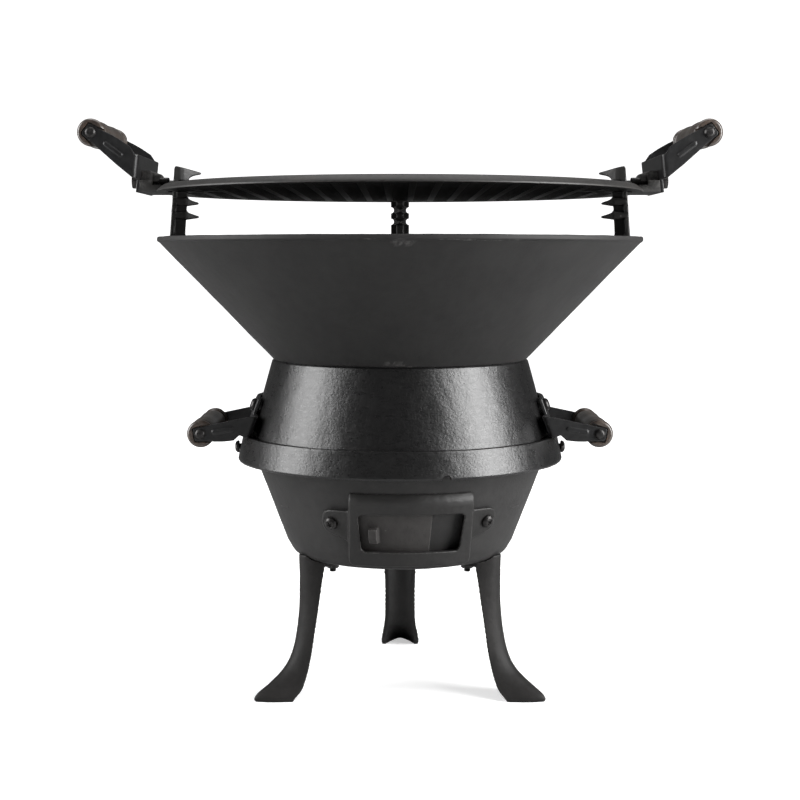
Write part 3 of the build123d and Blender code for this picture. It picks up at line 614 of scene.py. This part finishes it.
def grip_wood():
    """Turned wood along Y, thin dark brown lacquer with the grain showing through."""
    net = ShaderNet("grip_wood")
    along = net.stretched(1.0, 0.09, 1.0)
    grain = net.noise(1.5, detail=6, rough=0.62, distortion=0.6, vector=along)
    band = net.noise(5.0, detail=3, rough=0.5, distortion=0.3, vector=along)
    pore = net.fade(net.noise(0.45, detail=2, rough=0.5, vector=along), 0.30, 0.42)
    tone = net.plus(net.times(grain, 0.6), net.times(band, 0.4))
    colour = net.ramp(tone, [(0.34, (0.022, 0.016, 0.013)), (0.5, (0.050, 0.036, 0.028)),
                             (0.66, (0.100, 0.072, 0.054))])
    colour = net.mix(net.times(net.minus(1.0, pore), 0.6), colour, (0.006, 0.004, 0.003))
    edge = net.fade(net.add("NewGeometry").outputs["Pointiness"], 0.53, 0.62)
    edge = net.times(edge, net.fade(net.noise(2.5, detail=5, rough=0.7), 0.4, 0.6))
    colour = net.mix(net.times(edge, 0.45), colour, (0.12, 0.065, 0.038))
    net.surface(Base_Color=colour, Roughness=net.plus(0.27, net.times(grain, 0.12)),
                Specular_IOR_Level=0.5, Coat_Weight=1.0, Coat_Roughness=0.34)
    net.relief([(grain, 0.35, 0.06), (pore, 0.4, 0.04)])
    return net.material


def fastener_steel():
    """Blackened steel, brighter on its edges."""
    net = ShaderNet("fastener_black")
    mid = net.noise(2.2, detail=5, rough=0.6)
    fine = net.noise(0.5, detail=3, rough=0.6)
    colour = net.mix(net.fade(mid, 0.35, 0.65), (0.020, 0.019, 0.019), (0.050, 0.048, 0.047))
    edge = net.fade(net.add("NewGeometry").outputs["Pointiness"], 0.52, 0.6)
    colour = net.mix(net.times(edge, 0.5), colour, (0.11, 0.1056, 0.1034))
    net.surface(Base_Color=colour, Metallic=0.6, Roughness=net.plus(0.28, net.times(mid, 0.16)))
    net.relief([(fine, 0.3, 0.02), (mid, 0.3, 0.05)])
    return net.material


BOWL_IRON = cast_iron("iron_matte", (0.0165, 0.0160, 0.0160), (0.0275, 0.0265, 0.0260),
                      rough=0.58, specular=0.40, grain=1.0, pits=0.35, wear=0.30)
CONE_IRON = cast_iron("iron_cone", (0.0185, 0.0180, 0.0180), (0.0275, 0.0270, 0.0265),
                      rough=0.60, specular=0.28, grain=0.8, pits=0.22, wear=0.35, mottle=0.45)
RING_IRON = cast_iron("iron_ring", (0.0034, 0.0033, 0.0035), (0.0066, 0.0064, 0.0064),
                      rough=0.31, specular=0.62, grain=1.5, pits=0.22, wear=0.3,
                      rough_var=0.16, pit_mm=2.0, lumps=2.8, streaks=0.8)
VENT_IRON = cast_iron("iron_vent", (0.0105, 0.0101, 0.0098), (0.0180, 0.0172, 0.0166),
                      rough=0.50, specular=0.45, grain=1.0, pits=0.4, wear=0.5)
DAMPER_IRON = cast_iron("iron_damper", (0.0300, 0.0280, 0.0270), (0.0460, 0.0430, 0.0415),
                        rough=0.60, specular=0.38, grain=1.2, pits=0.4, wear=0.4)
LEG_IRON = cast_iron("iron_leg", (0.0105, 0.0098, 0.0096), (0.0180, 0.0168, 0.0163),
                     rough=0.57, specular=0.24, grain=1.1, pits=0.45, wear=0.45)
# darker copy of the leg iron for the rear leg: painted shade, as that leg stands in shadow behind
# the bowl
SHADED_REAR_LEG_IRON = cast_iron("iron_leg_rear_painted_shade", (0.0060, 0.0056, 0.0056), (0.0105, 0.0098, 0.0096),
                          rough=0.55, specular=0.30, grain=1.1, pits=0.45, wear=0.25)
POST_IRON = cast_iron("iron_post", (0.0120, 0.0115, 0.0110), (0.0220, 0.0210, 0.0200),
                      rough=0.48, specular=0.5, grain=1.1, pits=0.5, wear=0.8)
# the cooking grate gets painted shade on its undersides and on the side faces of its inner bars
GRATE_IRON = cast_iron("iron_grate", (0.0120, 0.0115, 0.0110), (0.0230, 0.0215, 0.0200),
                       rough=0.50, specular=0.5, grain=1.3, pits=0.7, wear=0.6, grain_mm=0.7,
                       pit_mm=3.0, rust=0.12, painted_under_shade=0.95, painted_shade_radius=170.5)
COAL_IRON = cast_iron("iron_coal_grate", (0.020, 0.018, 0.017), (0.040, 0.036, 0.033),
                      rough=0.72, specular=0.3, grain=1.5, pits=0.8, wear=0.4, rust=0.25)
STRAP_PAINT = strap_paint()
WOOD = grip_wood()
STEEL = fastener_steel()


# ---------------------------------------------------------------- large castings
# Profiles are (radius, height, corner radius)
def build_wind_cone():
    z0 = NECK_Z + 0.05
    profile = [
        (95.2, z0, 0.3), (96.35, z0 + 1.0, 0.7), (cone_r(RIM_Z0 - 0.7), RIM_Z0 - 0.7, 0.5),
        (179.35, RIM_Z0 - 0.1, 0.2), (RIM_R, RIM_Z0 + 0.7, 0.5), (RIM_R, RIM_Z1, 1.1),
        (176.0, RIM_Z1, 1.0), (176.0, cone_inner_z(176.0), 1.0), (87.0, cone_inner_z(87.0), 1.5),
        (87.0, 240.5, 0.5), (91.2, 240.5, 0.6), (91.2, z0, 0.0)]
    cone = lathe("wind_cone_casting", outline(profile, 3.0), SEGMENTS)
    # the pad's X runs down the wall and its Z along the wall normal
    seat = Matrix(((-WALL_RUN, 0, -WALL_RISE, FOOT_R * MM), (0, -1, 0, 0),
                   (-WALL_RISE, 0, WALL_RUN, FOOT_Z * MM), (0, 0, 0, 1)))
    corners = [(-12, -7.8, 1.6), (12, -7.8, 1.6), (12, 7.8, 1.6), (-12, 7.8, 1.6)]
    for azimuth in POST_AZ:
        pad = prism("pad", fillet(corners), -1.5, 5.0)
        bevel(pad, 0.8, 40)
        pad.data.transform(rotation(azimuth) @ seat)
        boolean(cone, pad, "UNION")
    cast_skin(cone, [(0.22, 26.0), (0.10, 8.0), (0.05, 3.6)], seed=1)
    piece(cone, "cone", CONE_IRON, "wind_cone")


def build_body_ring():
    profile = [
        (95.3, NECK_Z, 0.3), (96.45, NECK_Z - 1.1, 0.8), (112.25, 191.6, 0.3),
        (112.5, 190.3, 0.5), (114.2, 190.3, 0.5), (114.6, 192.25, 0.5), (118.4, 192.35, 0.9),
        (122.55, 173.8, 2.0), (122.1, 172.5, 0.9), (118.2, 172.5, 0.8), (118.2, 184.0, 1.5),
        (107.7, 184.0, 0.5), (91.9, NECK_Z, 0.3)]
    ring = lathe("body_ring_casting", outline(profile, 2.2), SEGMENTS)
    # round notch in the lower edge of the flange, at the front, right of the middle
    notch_az = -90 + 15.2
    notch = lathe("notch", [(0, 0), (3.7, 0), (3.7, 12), (0, 12)], 24)
    place(notch, polar(116, notch_az, 172.2), polar(1, notch_az, 0))
    boolean(ring, notch)
    # round pads behind the side handle straps
    profile = [(0, -12.05, 0), (6.5, -12.05, 0.7), (6.5, -0.2, 0.5), (0, -0.2, 0)]
    for point, normal, _ in SIDE_SITES:
        pad = lathe("pad", outline(profile, 2.0, closed=False), 48)
        place(pad, point, normal)
        boolean(ring, pad, "UNION")
    cast_skin(ring, [(0.22, 24.0), (0.10, 8.0), (0.06, 3.2)], seed=2)
    piece(ring, "base", RING_IRON, "body_ring")


def bowl_corner(radius, start, sweep, first):
    """Points first to 8 of an arc about the bowl's bottom corner, angles in degrees."""
    points = []
    for i in range(first, 9):
        angle = math.radians(start + sweep * i / 8.0)
        points.append((BOWL_BASE_R + radius * math.cos(angle),
                       BOWL_BOTTOM + BOWL_CORNER_R + radius * math.sin(angle)))
    return points


def build_lower_bowl():
    sweep = 90 - math.degrees(math.atan(BOWL_SLOPE))
    profile = [(0, BOWL_BOTTOM, 0), (BOWL_BASE_R, BOWL_BOTTOM, 0)]
    profile += [(r, z, 0) for r, z in bowl_corner(BOWL_CORNER_R, -90, sweep, 1)]
    profile += [
        (bowl_r(112), 112, 0), (bowl_r(172.0), 172.0, 3.0), (112.8, 176.0, 0.6),
        (117.5, 176.0, 0.8), (117.5, 183.95, 0.6), (bowl_r(184.0) - BOWL_WALL, 183.95, 1.0),
        (bowl_r(116.0) - BOWL_WALL, 116.0, 6.0), (78.6, 109.6, 5.0), (73.0, BOWL_FLOOR, 4.0),
        (0, BOWL_FLOOR, 0)]
    bowl = lathe("lower_bowl_casting", outline(profile, 2.6, closed=False), SEGMENTS)
    lug_points = [(97.5, 142.5, 0.5), (97.5, 149.95, 0), (79.0, 149.95, 1.6),
                  (79.0, 146.6, 1.6), (86.0, 141.5, 4.0), (92.0, 137.5, 2.0)]
    for azimuth in LEG_AZ.values():
        lug = prism("lug", fillet(lug_points), -7, 7, "Y")
        bevel(lug, 1.2, 40)
        lug.data.transform(rotation(azimuth))
        boolean(bowl, lug, "UNION")
    # window in the wall, left of the vent's middle
    window = [(78, 119), (112, 119), (112, 144), (78, 144)]
    boolean(bowl, ring_sector("window", window, VENT_AZ - 22.6, VENT_AZ - 9.6, 12))
    cast_skin(bowl, [(0.18, 22.0), (0.09, 7.0), (0.045, 3.2)], seed=3)
    piece(bowl, "base", BOWL_IRON, "lower_bowl")


# ---------------------------------------------------------------- legs
# Stations up a leg: height, outer face radius at mid-width, outer face radius at the side
# edges, half width, inner face radius at mid-width, exponent of the faces' curve
LEG = np.array([
    (0.0, 122.6, 99.0, 15.4, 118.4, 1.45), (2.2, 123.5, 97.6, 15.7, 116.2, 1.45),
    (4.6, 121.9, 95.2, 15.8, 113.2, 1.48), (7.0, 118.6, 92.6, 15.6, 109.6, 1.52),
    (9.5, 114.6, 90.7, 15.3, 105.6, 1.56), (12.5, 109.6, 89.2, 14.8, 101.2, 1.65),
    (16.0, 104.4, 87.5, 14.2, 96.8, 1.75), (20.4, 99.0, 85.6, 13.5, 92.4, 1.85),
    (25.5, 94.7, 84.1, 13.0, 89.0, 1.95), (32.0, 91.2, 82.4, 12.8, 86.2, 2.0),
    (42.0, 88.2, 80.5, 12.7, 83.6, 2.0), (55.0, 86.0, 78.4, 12.8, 81.5, 2.0),
    (73.0, 84.6, 75.8, 13.5, 80.0, 2.0), (86.0, 84.5, 74.0, 14.1, 79.6, 2.0),
    (94.0, 84.8, 72.6, 14.4, 78.0, 2.0), (105.4, 85.2, 71.6, 14.4, 77.4, 2.0)])
LEG_INSET_T, LEG_INSET_R = 3.3, 0.6    # inner face's side edges from the outer face's


def monotone_cubic(xs, ys, x):
    """Value at x of the monotone cubic through (xs, ys)."""
    gaps = np.diff(xs)
    rates = np.diff(ys) / gaps
    slopes = np.zeros(len(xs))
    slopes[0], slopes[-1] = rates[0], rates[-1]
    for i in range(1, len(xs) - 1):
        if rates[i - 1] * rates[i] > 0:
            before, after = 2 * gaps[i] + gaps[i - 1], gaps[i] + 2 * gaps[i - 1]
            slopes[i] = (before + after) / (before / rates[i - 1] + after / rates[i])
    i = np.clip(np.searchsorted(xs, x) - 1, 0, len(xs) - 2)
    t = (x - xs[i]) / gaps[i]
    return ((2 * t**3 - 3 * t**2 + 1) * ys[i] + (t**3 - 2 * t**2 + t) * gaps[i] * slopes[i]
            + (-2 * t**3 + 3 * t**2) * ys[i + 1] + (t**3 - t**2) * gaps[i] * slopes[i + 1])


def leg_shell():
    """The leg's curved blade, pointing along +X."""
    top = LEG[-1, 0]
    heights = np.concatenate([np.linspace(0, 12, 17), np.linspace(12, 34, 20)[1:],
                              np.linspace(34, top, 26)[1:]])
    half = 12
    count = 2 * (2 * half + 1)
    verts = []
    for z in heights:
        outer, edge, width, inner, power = (
            float(monotone_cubic(LEG[:, 0], LEG[:, k], z)) for k in range(1, 6))
        for i in range(-half, half + 1):
            u = i / half
            verts.append((outer - (outer - edge) * abs(u) ** power, width * u, z))
        inner_width, inner_edge = width - LEG_INSET_T, edge - LEG_INSET_R
        for i in range(half, -half - 1, -1):
            u = i / half
            verts.append((inner - (inner - inner_edge) * abs(u) ** power, inner_width * u, z))
    spans = len(heights) - 1
    faces = tube_faces(spans, count)
    for base in (0, spans * count):
        for i in range(count // 2 - 1):
            faces.append((base + i, base + i + 1, base + count - 2 - i, base + count - 1 - i))
    return solid("leg", verts, faces)


def leg_tab(top):
    """Flat tab under the bowl that takes the leg bolt."""
    right = [(82.0, -3.5, 0), (82.0, 3.5, 0), (80.0, 7.5, 0), (76.2, 11.0, 0), (71.6, 13.2, 0),
             (64, 13.6, 4), (57, 10.0, 6), (48.2, 7.5, 6), (48.2, -7.5, 6), (57, -10.0, 6),
             (64, -13.6, 4), (71.6, -13.2, 0), (76.2, -11.0, 0), (80.0, -7.5, 0)]
    tab = prism("tab", fillet(right, steps=6), 97.0, top)
    bevel(tab, 0.7, 40)
    return tab


def leg_gusset():
    """Web in the corner between tab and blade, kept within the blade's curve."""
    side = [(66.0, 98.0, 0), (83.0, 98.0, 0), (82.0, 82.0, 0), (79.0, 82.0, 0),
            (77.8, 90.0, 6), (74.4, 95.0, 6)]
    plan = [(60, -12), (74.6, -10.2), (78.6, -8), (80.8, -6), (82.0, -4), (82.4, 0),
            (82.0, 4), (80.8, 6), (78.6, 8), (74.6, 10.2), (60, 12)]
    gusset = prism("gusset", fillet(side, steps=5), -10.5, 10.5, "Y")
    boolean(gusset, prism("plan", plan, 78, 100), "INTERSECT")
    return gusset


def build_legs():
    shell = leg_shell()
    # cut away the room the bowl takes, with a little clearance
    seat_z = BOWL_BOTTOM - 0.1
    seat = [(0, seat_z), (74.0, seat_z)]
    seat += bowl_corner(BOWL_CORNER_R + 0.6, -84, 64.5, 0)
    seat += [(bowl_r(116.0) + 0.8, 116.0), (0, 116.0)]
    boolean(shell, lathe("seat", seat, 240))
    leg = join("leg", [shell, leg_tab(seat_z), leg_gusset()])
    voxel(leg, 0.62, 5)
    for i, (node, azimuth) in enumerate(LEG_AZ.items()):
        obj = new_object(node + "_casting", leg.data.copy())
        obj.data.transform(rotation(azimuth))
        cast_skin(obj, [(0.22, 18.0), (0.10, 6.0), (0.05, 2.6)], seed=10 + i)
        # the rear leg takes the darker copy of the leg iron, as painted shade
        iron = SHADED_REAR_LEG_IRON if node == "leg_rear" else LEG_IRON
        piece(obj, "base", iron, node, angle=50)
    drop(leg)


# ---------------------------------------------------------------- pieces shaped from the CAD
POST_LOOK = (0.42, 3, [(0.12, 8.0), (0.06, 3.0)], "cone", POST_IRON, "post_casting")
# node: voxel size, smoothing steps, skin layers, body, material, slot
SMALL_CASTINGS = {
    "vent_frame": (0.6, 14, [(0.18, 14.0), (0.09, 4.5), (0.05, 2.4)], "base", VENT_IRON,
                   "vent_castings"),
    "vent_damper": (0.5, 3, [(0.10, 10.0), (0.05, 3.2)], "damper", DAMPER_IRON, "vent_castings"),
    "grate_post_left": POST_LOOK,
    "grate_post_right": POST_LOOK,
    "grate_post_rear": POST_LOOK,
}


def build_small_castings():
    for node, (size, smoothing, skin, body, iron, slot) in SMALL_CASTINGS.items():
        obj = cad_copy(node, "_casting")
        voxel(obj, size * (1.0), smoothing)
        cast_skin(obj, skin, seed=len(node))
        piece(obj, body, iron, node, angle=50)


def build_straps():
    for side in ("left", "right"):
        for group, body, _, _ in HANDLES:
            node = group + "_bracket_" + side
            obj = cad_copy(node, "_strap")
            voxel(obj, 0.45, 2)
            piece(obj, body, STRAP_PAINT, node, angle=50)


def build_grates():
    for node, width, body, iron in (("cooking_grate", 0.7, "grate", GRATE_IRON),
                                    ("charcoal_grate", 0.8, "coal_grate", COAL_IRON)):
        obj = cad_copy(node, "_casting")
        bevel(obj, width)
        piece(obj, body, iron, node, angle=40)


# ---------------------------------------------------------------- grips and rods
# Half of the grip from its end to near its middle: radius, distance along it, corner radius
HALF_GRIP = [
    (0.0, 46.3, 0), (8.6, 46.3, 1.4), (10.0, 44.6, 1.6), (10.0, 41.4, 1.3), (8.75, 39.9, 0.35),
    (8.75, 39.1, 0.35), (9.85, 37.6, 1.0), (9.85, 36.2, 1.0), (8.8, 34.8, 0.4),
    (8.85, 33.9, 0.6), (9.45, 29.5, 6), (9.95, 21.0, 14), (9.75, 12.0, 14), (9.15, 3.0, 10)]


def lay_along_y(obj, centre):
    move = Matrix.Translation((centre[0] * MM, 0, centre[1] * MM))
    obj.data.transform(move @ rotation(90, "X"))


def make_grip(name, strap, centre):
    """Turned grip with a slot in each end that opens towards the strap."""
    profile = HALF_GRIP + [(r, -y, corner) for r, y, corner in reversed(HALF_GRIP)]
    grip = lathe(name, outline(profile, 1.3, closed=False, steps=5), 72)
    lay_along_y(grip, centre)
    dx, dz = centre[0] - strap[0], centre[1] - strap[1]
    reach = math.hypot(dx, dz)
    dx, dz = dx / reach, dz / reach
    # slot outline: distance away from the strap, distance across, corner radius
    slot = [(5.5, -5.5, 1.8), (5.5, 5.5, 1.8), (0, 6.1, 0), (-13, 9.4, 0), (-13, -9.4, 0),
            (0, -6.1, 0)]
    slot = fillet([(centre[0] + dx * out - dz * across, centre[1] + dz * out + dx * across, corner)
                   for out, across, corner in slot])
    for low, high in ((43.3, 60.0), (-60.0, -43.3)):
        boolean(grip, prism("slot", slot, low, high, "Y"))
    bevel(grip, 0.3, 50)
    return grip


def make_rod(name, centre):
    """Rod through the grip with a low domed head at each end."""
    end = 46.03
    profile = [(0, -end - 2.15, 0), (2.6, -end - 1.95, 1.6), (3.9, -end - 0.6, 0.8),
               (3.9, -end, 0.1), (2.5, -end, 0)]
    profile += [(r, -z, corner) for r, z, corner in reversed(profile)]
    rod = lathe(name, fillet(profile, closed=False), 36)
    lay_along_y(rod, centre)
    return rod


def build_grips():
    for group, body, strap, centre in HANDLES:
        grip = make_grip(group + "_grip_right_turned", strap, centre)
        left_grip = mirrored(grip, group + "_grip_left_turned")
        rod = make_rod(group + "_rod_right_steel", centre)
        left_rod = mirrored(rod, group + "_rod_left_steel")
        piece(grip, body, WOOD, group + "_grip_right", angle=40)
        piece(left_grip, body, WOOD, group + "_grip_left", angle=40)
        piece(rod, body, STEEL, group + "_rod_right")
        piece(left_rod, body, STEEL, group + "_rod_left")


# ---------------------------------------------------------------- fasteners
# shank radius, head radius, head height, shank length, thread pitch
SCREWS = {
    "vent_frame_screws": (2.5, 4.9, 3.4, 14.2, 0.8),
    "flange_screws": (2.5, 4.6, 3.2, 12.6, 0.8),
    "side_handle_screws": (2.5, 4.75, 3.3, 20.5, 0.8),
    "leg_bolts": (2.5, 4.75, 3.3, BOWL_FLOOR - 90.3, 0.8),
    "post_screws": (3.0, 5.6, 3.8, 10.6, 1.0),
}


def threaded(radius, pitch, z0, z1):
    """Closed rod with a helical V thread, tapered in at z0."""
    steps, sides = int((z1 - z0) / (pitch / 6.0)), 36
    depth = 0.6 * pitch
    verts = []
    for k in range(steps + 1):
        z = z0 + (z1 - z0) * k / steps
        lead_in = min(1.0, (z - z0) / pitch * 1.2 + 0.15)
        for i in range(sides):
            phase = (z / pitch - i / sides) % 1.0
            groove = 1 - abs(phase - 0.5) * 2.0
            r = min(radius - depth * groove * 0.9, radius - (1 - lead_in) * depth)
            angle = 2 * math.pi * i / sides
            verts.append((r * math.cos(angle), r * math.sin(angle), z))
    return capped_tube("thread", verts, steps, sides)


def pan_screw(shank_r, head_r, head_h, length, pitch):
    """Cross-recess pan head with its underside at z = 0, and a threaded shank below."""
    neck_r = shank_r * 0.98
    profile = [(0, -0.4, 0), (neck_r, -0.4, 0), (neck_r, 0.0, 0), (head_r, 0.0, 0.25),
               (head_r, head_h * 0.42, head_h * 0.5),
               (head_r * 0.72, head_h * 0.9, head_r * 0.8), (0, head_h, 0)]
    head = lathe("screw", outline(profile, 1.0, closed=False, steps=6), 48)
    # each bar of the cross narrows downwards: half length, half width, height
    width, reach = head_r * 0.13, head_r * 0.52
    ends = ((reach * 1.08, width * 1.2, head_h + 0.3),
            (reach * 0.42, width * 0.7, head_h - head_h * 0.62))
    verts = [(sx * x, sy * y, z) for x, y, z in ends
             for sx, sy in ((-1, -1), (1, -1), (1, 1), (-1, 1))]
    faces = [(0, 1, 2, 3), (7, 6, 5, 4), (0, 4, 5, 1), (1, 5, 6, 2), (2, 6, 7, 3), (3, 7, 4, 0)]
    for angle in (0, 90):
        bar = solid("bar", verts, faces)
        bar.data.transform(rotation(angle))
        boolean(head, bar)
    bevel(head, head_r * 0.035, 45)
    boolean(head, threaded(shank_r, pitch, -length, -0.2), "UNION")
    return head


def fit_screws(node, spots, body="base"):
    """Copies of one screw at spots of (point, direction, spin in radians)."""
    screw = pan_screw(*SCREWS[node])
    copies = []
    for point, direction, spin in spots:
        obj = new_object("copy", screw.data.copy())
        place(obj, point, direction, spin)
        copies.append(obj)
    drop(screw)
    piece(join(node + "_pan", copies), body, STEEL, node)


def build_screws():
    # the heads' spins differ so that their recesses don't line up
    tilt = math.atan(BOWL_SLOPE)
    screw_z = 137.4
    spots = []
    for side, spin in ((-1, 0.35), (1, 1.0)):
        azimuth = VENT_AZ + side * 33.84
        normal = Vector(polar(math.cos(tilt), azimuth, -math.sin(tilt)))
        point = Vector(polar(bowl_r(screw_z) + 4.0, azimuth, screw_z)) + normal * 0.03
        spots.append((point, normal, spin))
    fit_screws("vent_frame_screws", spots)

    fit_screws("flange_screws", [((sx * 122.4, 0, 180.6), (sx, 0, 0), 0.4) for sx in (1, -1)])

    fit_screws("side_handle_screws",
               [(point + normal * (STRAP_THICK + 0.02), normal, 0.3 * side + point.y)
                for point, normal, side in SIDE_SITES])

    fit_screws("leg_bolts", [(polar(58, az, BOWL_FLOOR), (0, 0, 1), az)
                             for az in LEG_AZ.values()])

    lift = 5.05 + 4.52                 # head underside above the cone wall, along its normal
    radius, z = FOOT_R + WALL_NORMAL[0] * lift, FOOT_Z + WALL_NORMAL[2] * lift
    spots = [(polar(radius, az, z), polar(WALL_NORMAL[0], az, WALL_NORMAL[2]), 0.5 + az)
             for az in POST_AZ]
    fit_screws("post_screws", spots, "cone")


def build_hex_fasteners():
    """Nuts and hex bolts in their CAD shape, with broken edges."""
    for node, body in (("leg_nuts", "base"), ("vent_frame_nuts", "base"),
                       ("side_handle_nuts", "base"), ("grate_handle_nuts", "grate"),
                       ("grate_handle_bolts", "grate")):
        obj = cad_copy(node, "_hex")
        bevel(obj, 0.22, 25)
        if node == "grate_handle_bolts":
            # helical thread on the free end of each bolt
            parts = [obj]
            for side in (1, -1):
                for y in (-20, 20):
                    thread = threaded(3.06, 1.0, -16.0, -4.6)
                    place(thread, (186.0 * side, y, 379.3), (side, 0, 0))
                    parts.append(thread)
            obj = join(node + "_hex", parts)
        piece(obj, body, STEEL, node)


# ---------------------------------------------------------------- stage, light, camera (m)
def floor_material():
    """Pale diffuse floor. To the camera it glows close to white, more so far away, and only
    the soft contact shadow is left of its shading."""
    net = ShaderNet("floor_pale")
    pale = (0.84, 0.84, 0.84)
    mottle = net.fade(net.noise(60, detail=3, rough=0.5), 0.3, 0.7)
    seen = net.mix(mottle, pale, tuple(c * 0.985 for c in pale))
    to_camera = net.add("LightPath").outputs["Is Camera Ray"]
    glow = net.add("MapRange", interpolation_type="SMOOTHSTEP")
    for key, value in (("From Min", 0.35), ("From Max", 1.3), ("To Min", 0.50),
                       ("To Max", 1.05), ("Value", net.length(net.position))):
        net.put(glow.inputs[key], value)
    net.surface(Roughness=0.8, Specular_IOR_Level=0.1, Emission_Color=(1, 1, 1),
                Emission_Strength=net.times(to_camera, glow.outputs["Result"]),
                Base_Color=net.mix(to_camera, tuple(c * 0.55 for c in pale), seen))
    return net.material


def build_floor():
    """Floor that rises into a backdrop far behind the object."""
    bend_y, bend_r = 3.0, 2.0
    profile = [(-6.0, 0.0), (bend_y, 0.0)]
    for degrees in range(5, 91, 5):
        angle = math.radians(degrees)
        profile.append((bend_y + bend_r * math.sin(angle), bend_r - bend_r * math.cos(angle)))
    profile.append((5.0, 7.0))
    verts = [(x, y, z) for y, z in profile for x in (-9, 9)]
    faces = [(2 * k, 2 * k + 1, 2 * k + 3, 2 * k + 2) for k in range(len(profile) - 1)]
    floor = new_object("floor", new_mesh("floor", verts, faces, scale=1.0))
    floor.data.shade_smooth()
    floor.data.materials.append(floor_material())


def around(azimuth, distance, z):
    """Point at an azimuth counted from the front, positive to the right."""
    angle = math.radians(azimuth)
    return (distance * math.sin(angle), -distance * math.cos(angle), z)


def build_lights():
    # name, place, height aimed at on the axis, size, size_y, power in watts
    for name, point, aim_z, size, size_y, power in (
            ("soft_right", around(66, 1.5, 0.68), 0.24, 0.95, 1.3, 50),
            ("soft_left", around(-80, 1.5, 0.68), 0.24, 0.90, 1.3, 31),
            ("soft_top", (0, 0.5, 2.35), 0.0, 2.0, 2.0, 24)):
        light = bpy.data.lights.new(name, "AREA")
        light.shape = "RECTANGLE"
        light.size, light.size_y = size, size_y
        light.energy = power
        obj = new_object(name, light)
        obj.location = point
        aim = Vector((0, 0, aim_z)) - Vector(point)
        obj.rotation_euler = aim.to_track_quat("-Z", "Y").to_euler()


def build_world():
    """White to the camera, a faint white fill for everything else."""
    world = bpy.data.worlds.new("studio")
    SCENE.world = world
    world.use_nodes = True
    nodes, links = world.node_tree.nodes, world.node_tree.links
    nodes.clear()
    output = nodes.new("ShaderNodeOutputWorld")
    mix = nodes.new("ShaderNodeMixShader")
    path = nodes.new("ShaderNodeLightPath")
    links.new(path.outputs["Is Camera Ray"], mix.inputs[0])
    for index, strength in ((1, 0.10), (2, 1.0)):
        background = nodes.new("ShaderNodeBackground")
        background.inputs[0].default_value = (1, 1, 1, 1)
        background.inputs[1].default_value = strength
        links.new(background.outputs[0], mix.inputs[index])
    links.new(mix.outputs[0], output.inputs[0])


def build_camera():
    lens = bpy.data.cameras.new("camera")
    lens.sensor_width = 36.0
    lens.lens = 65.78
    camera = new_object("camera", lens)
    camera.location = (0.0, -1.1052, 0.3247)
    camera.rotation_euler = (math.radians(90 - 5.615), 0, 0)   # looks slightly down
    SCENE.camera = camera
    SCENE.view_settings.view_transform = "Standard"


build_wind_cone()
build_body_ring()
build_lower_bowl()
build_legs()
build_small_castings()
build_straps()
build_grips()
build_screws()
build_hex_fasteners()
build_grates()
build_floor()
build_lights()
build_world()
build_camera()
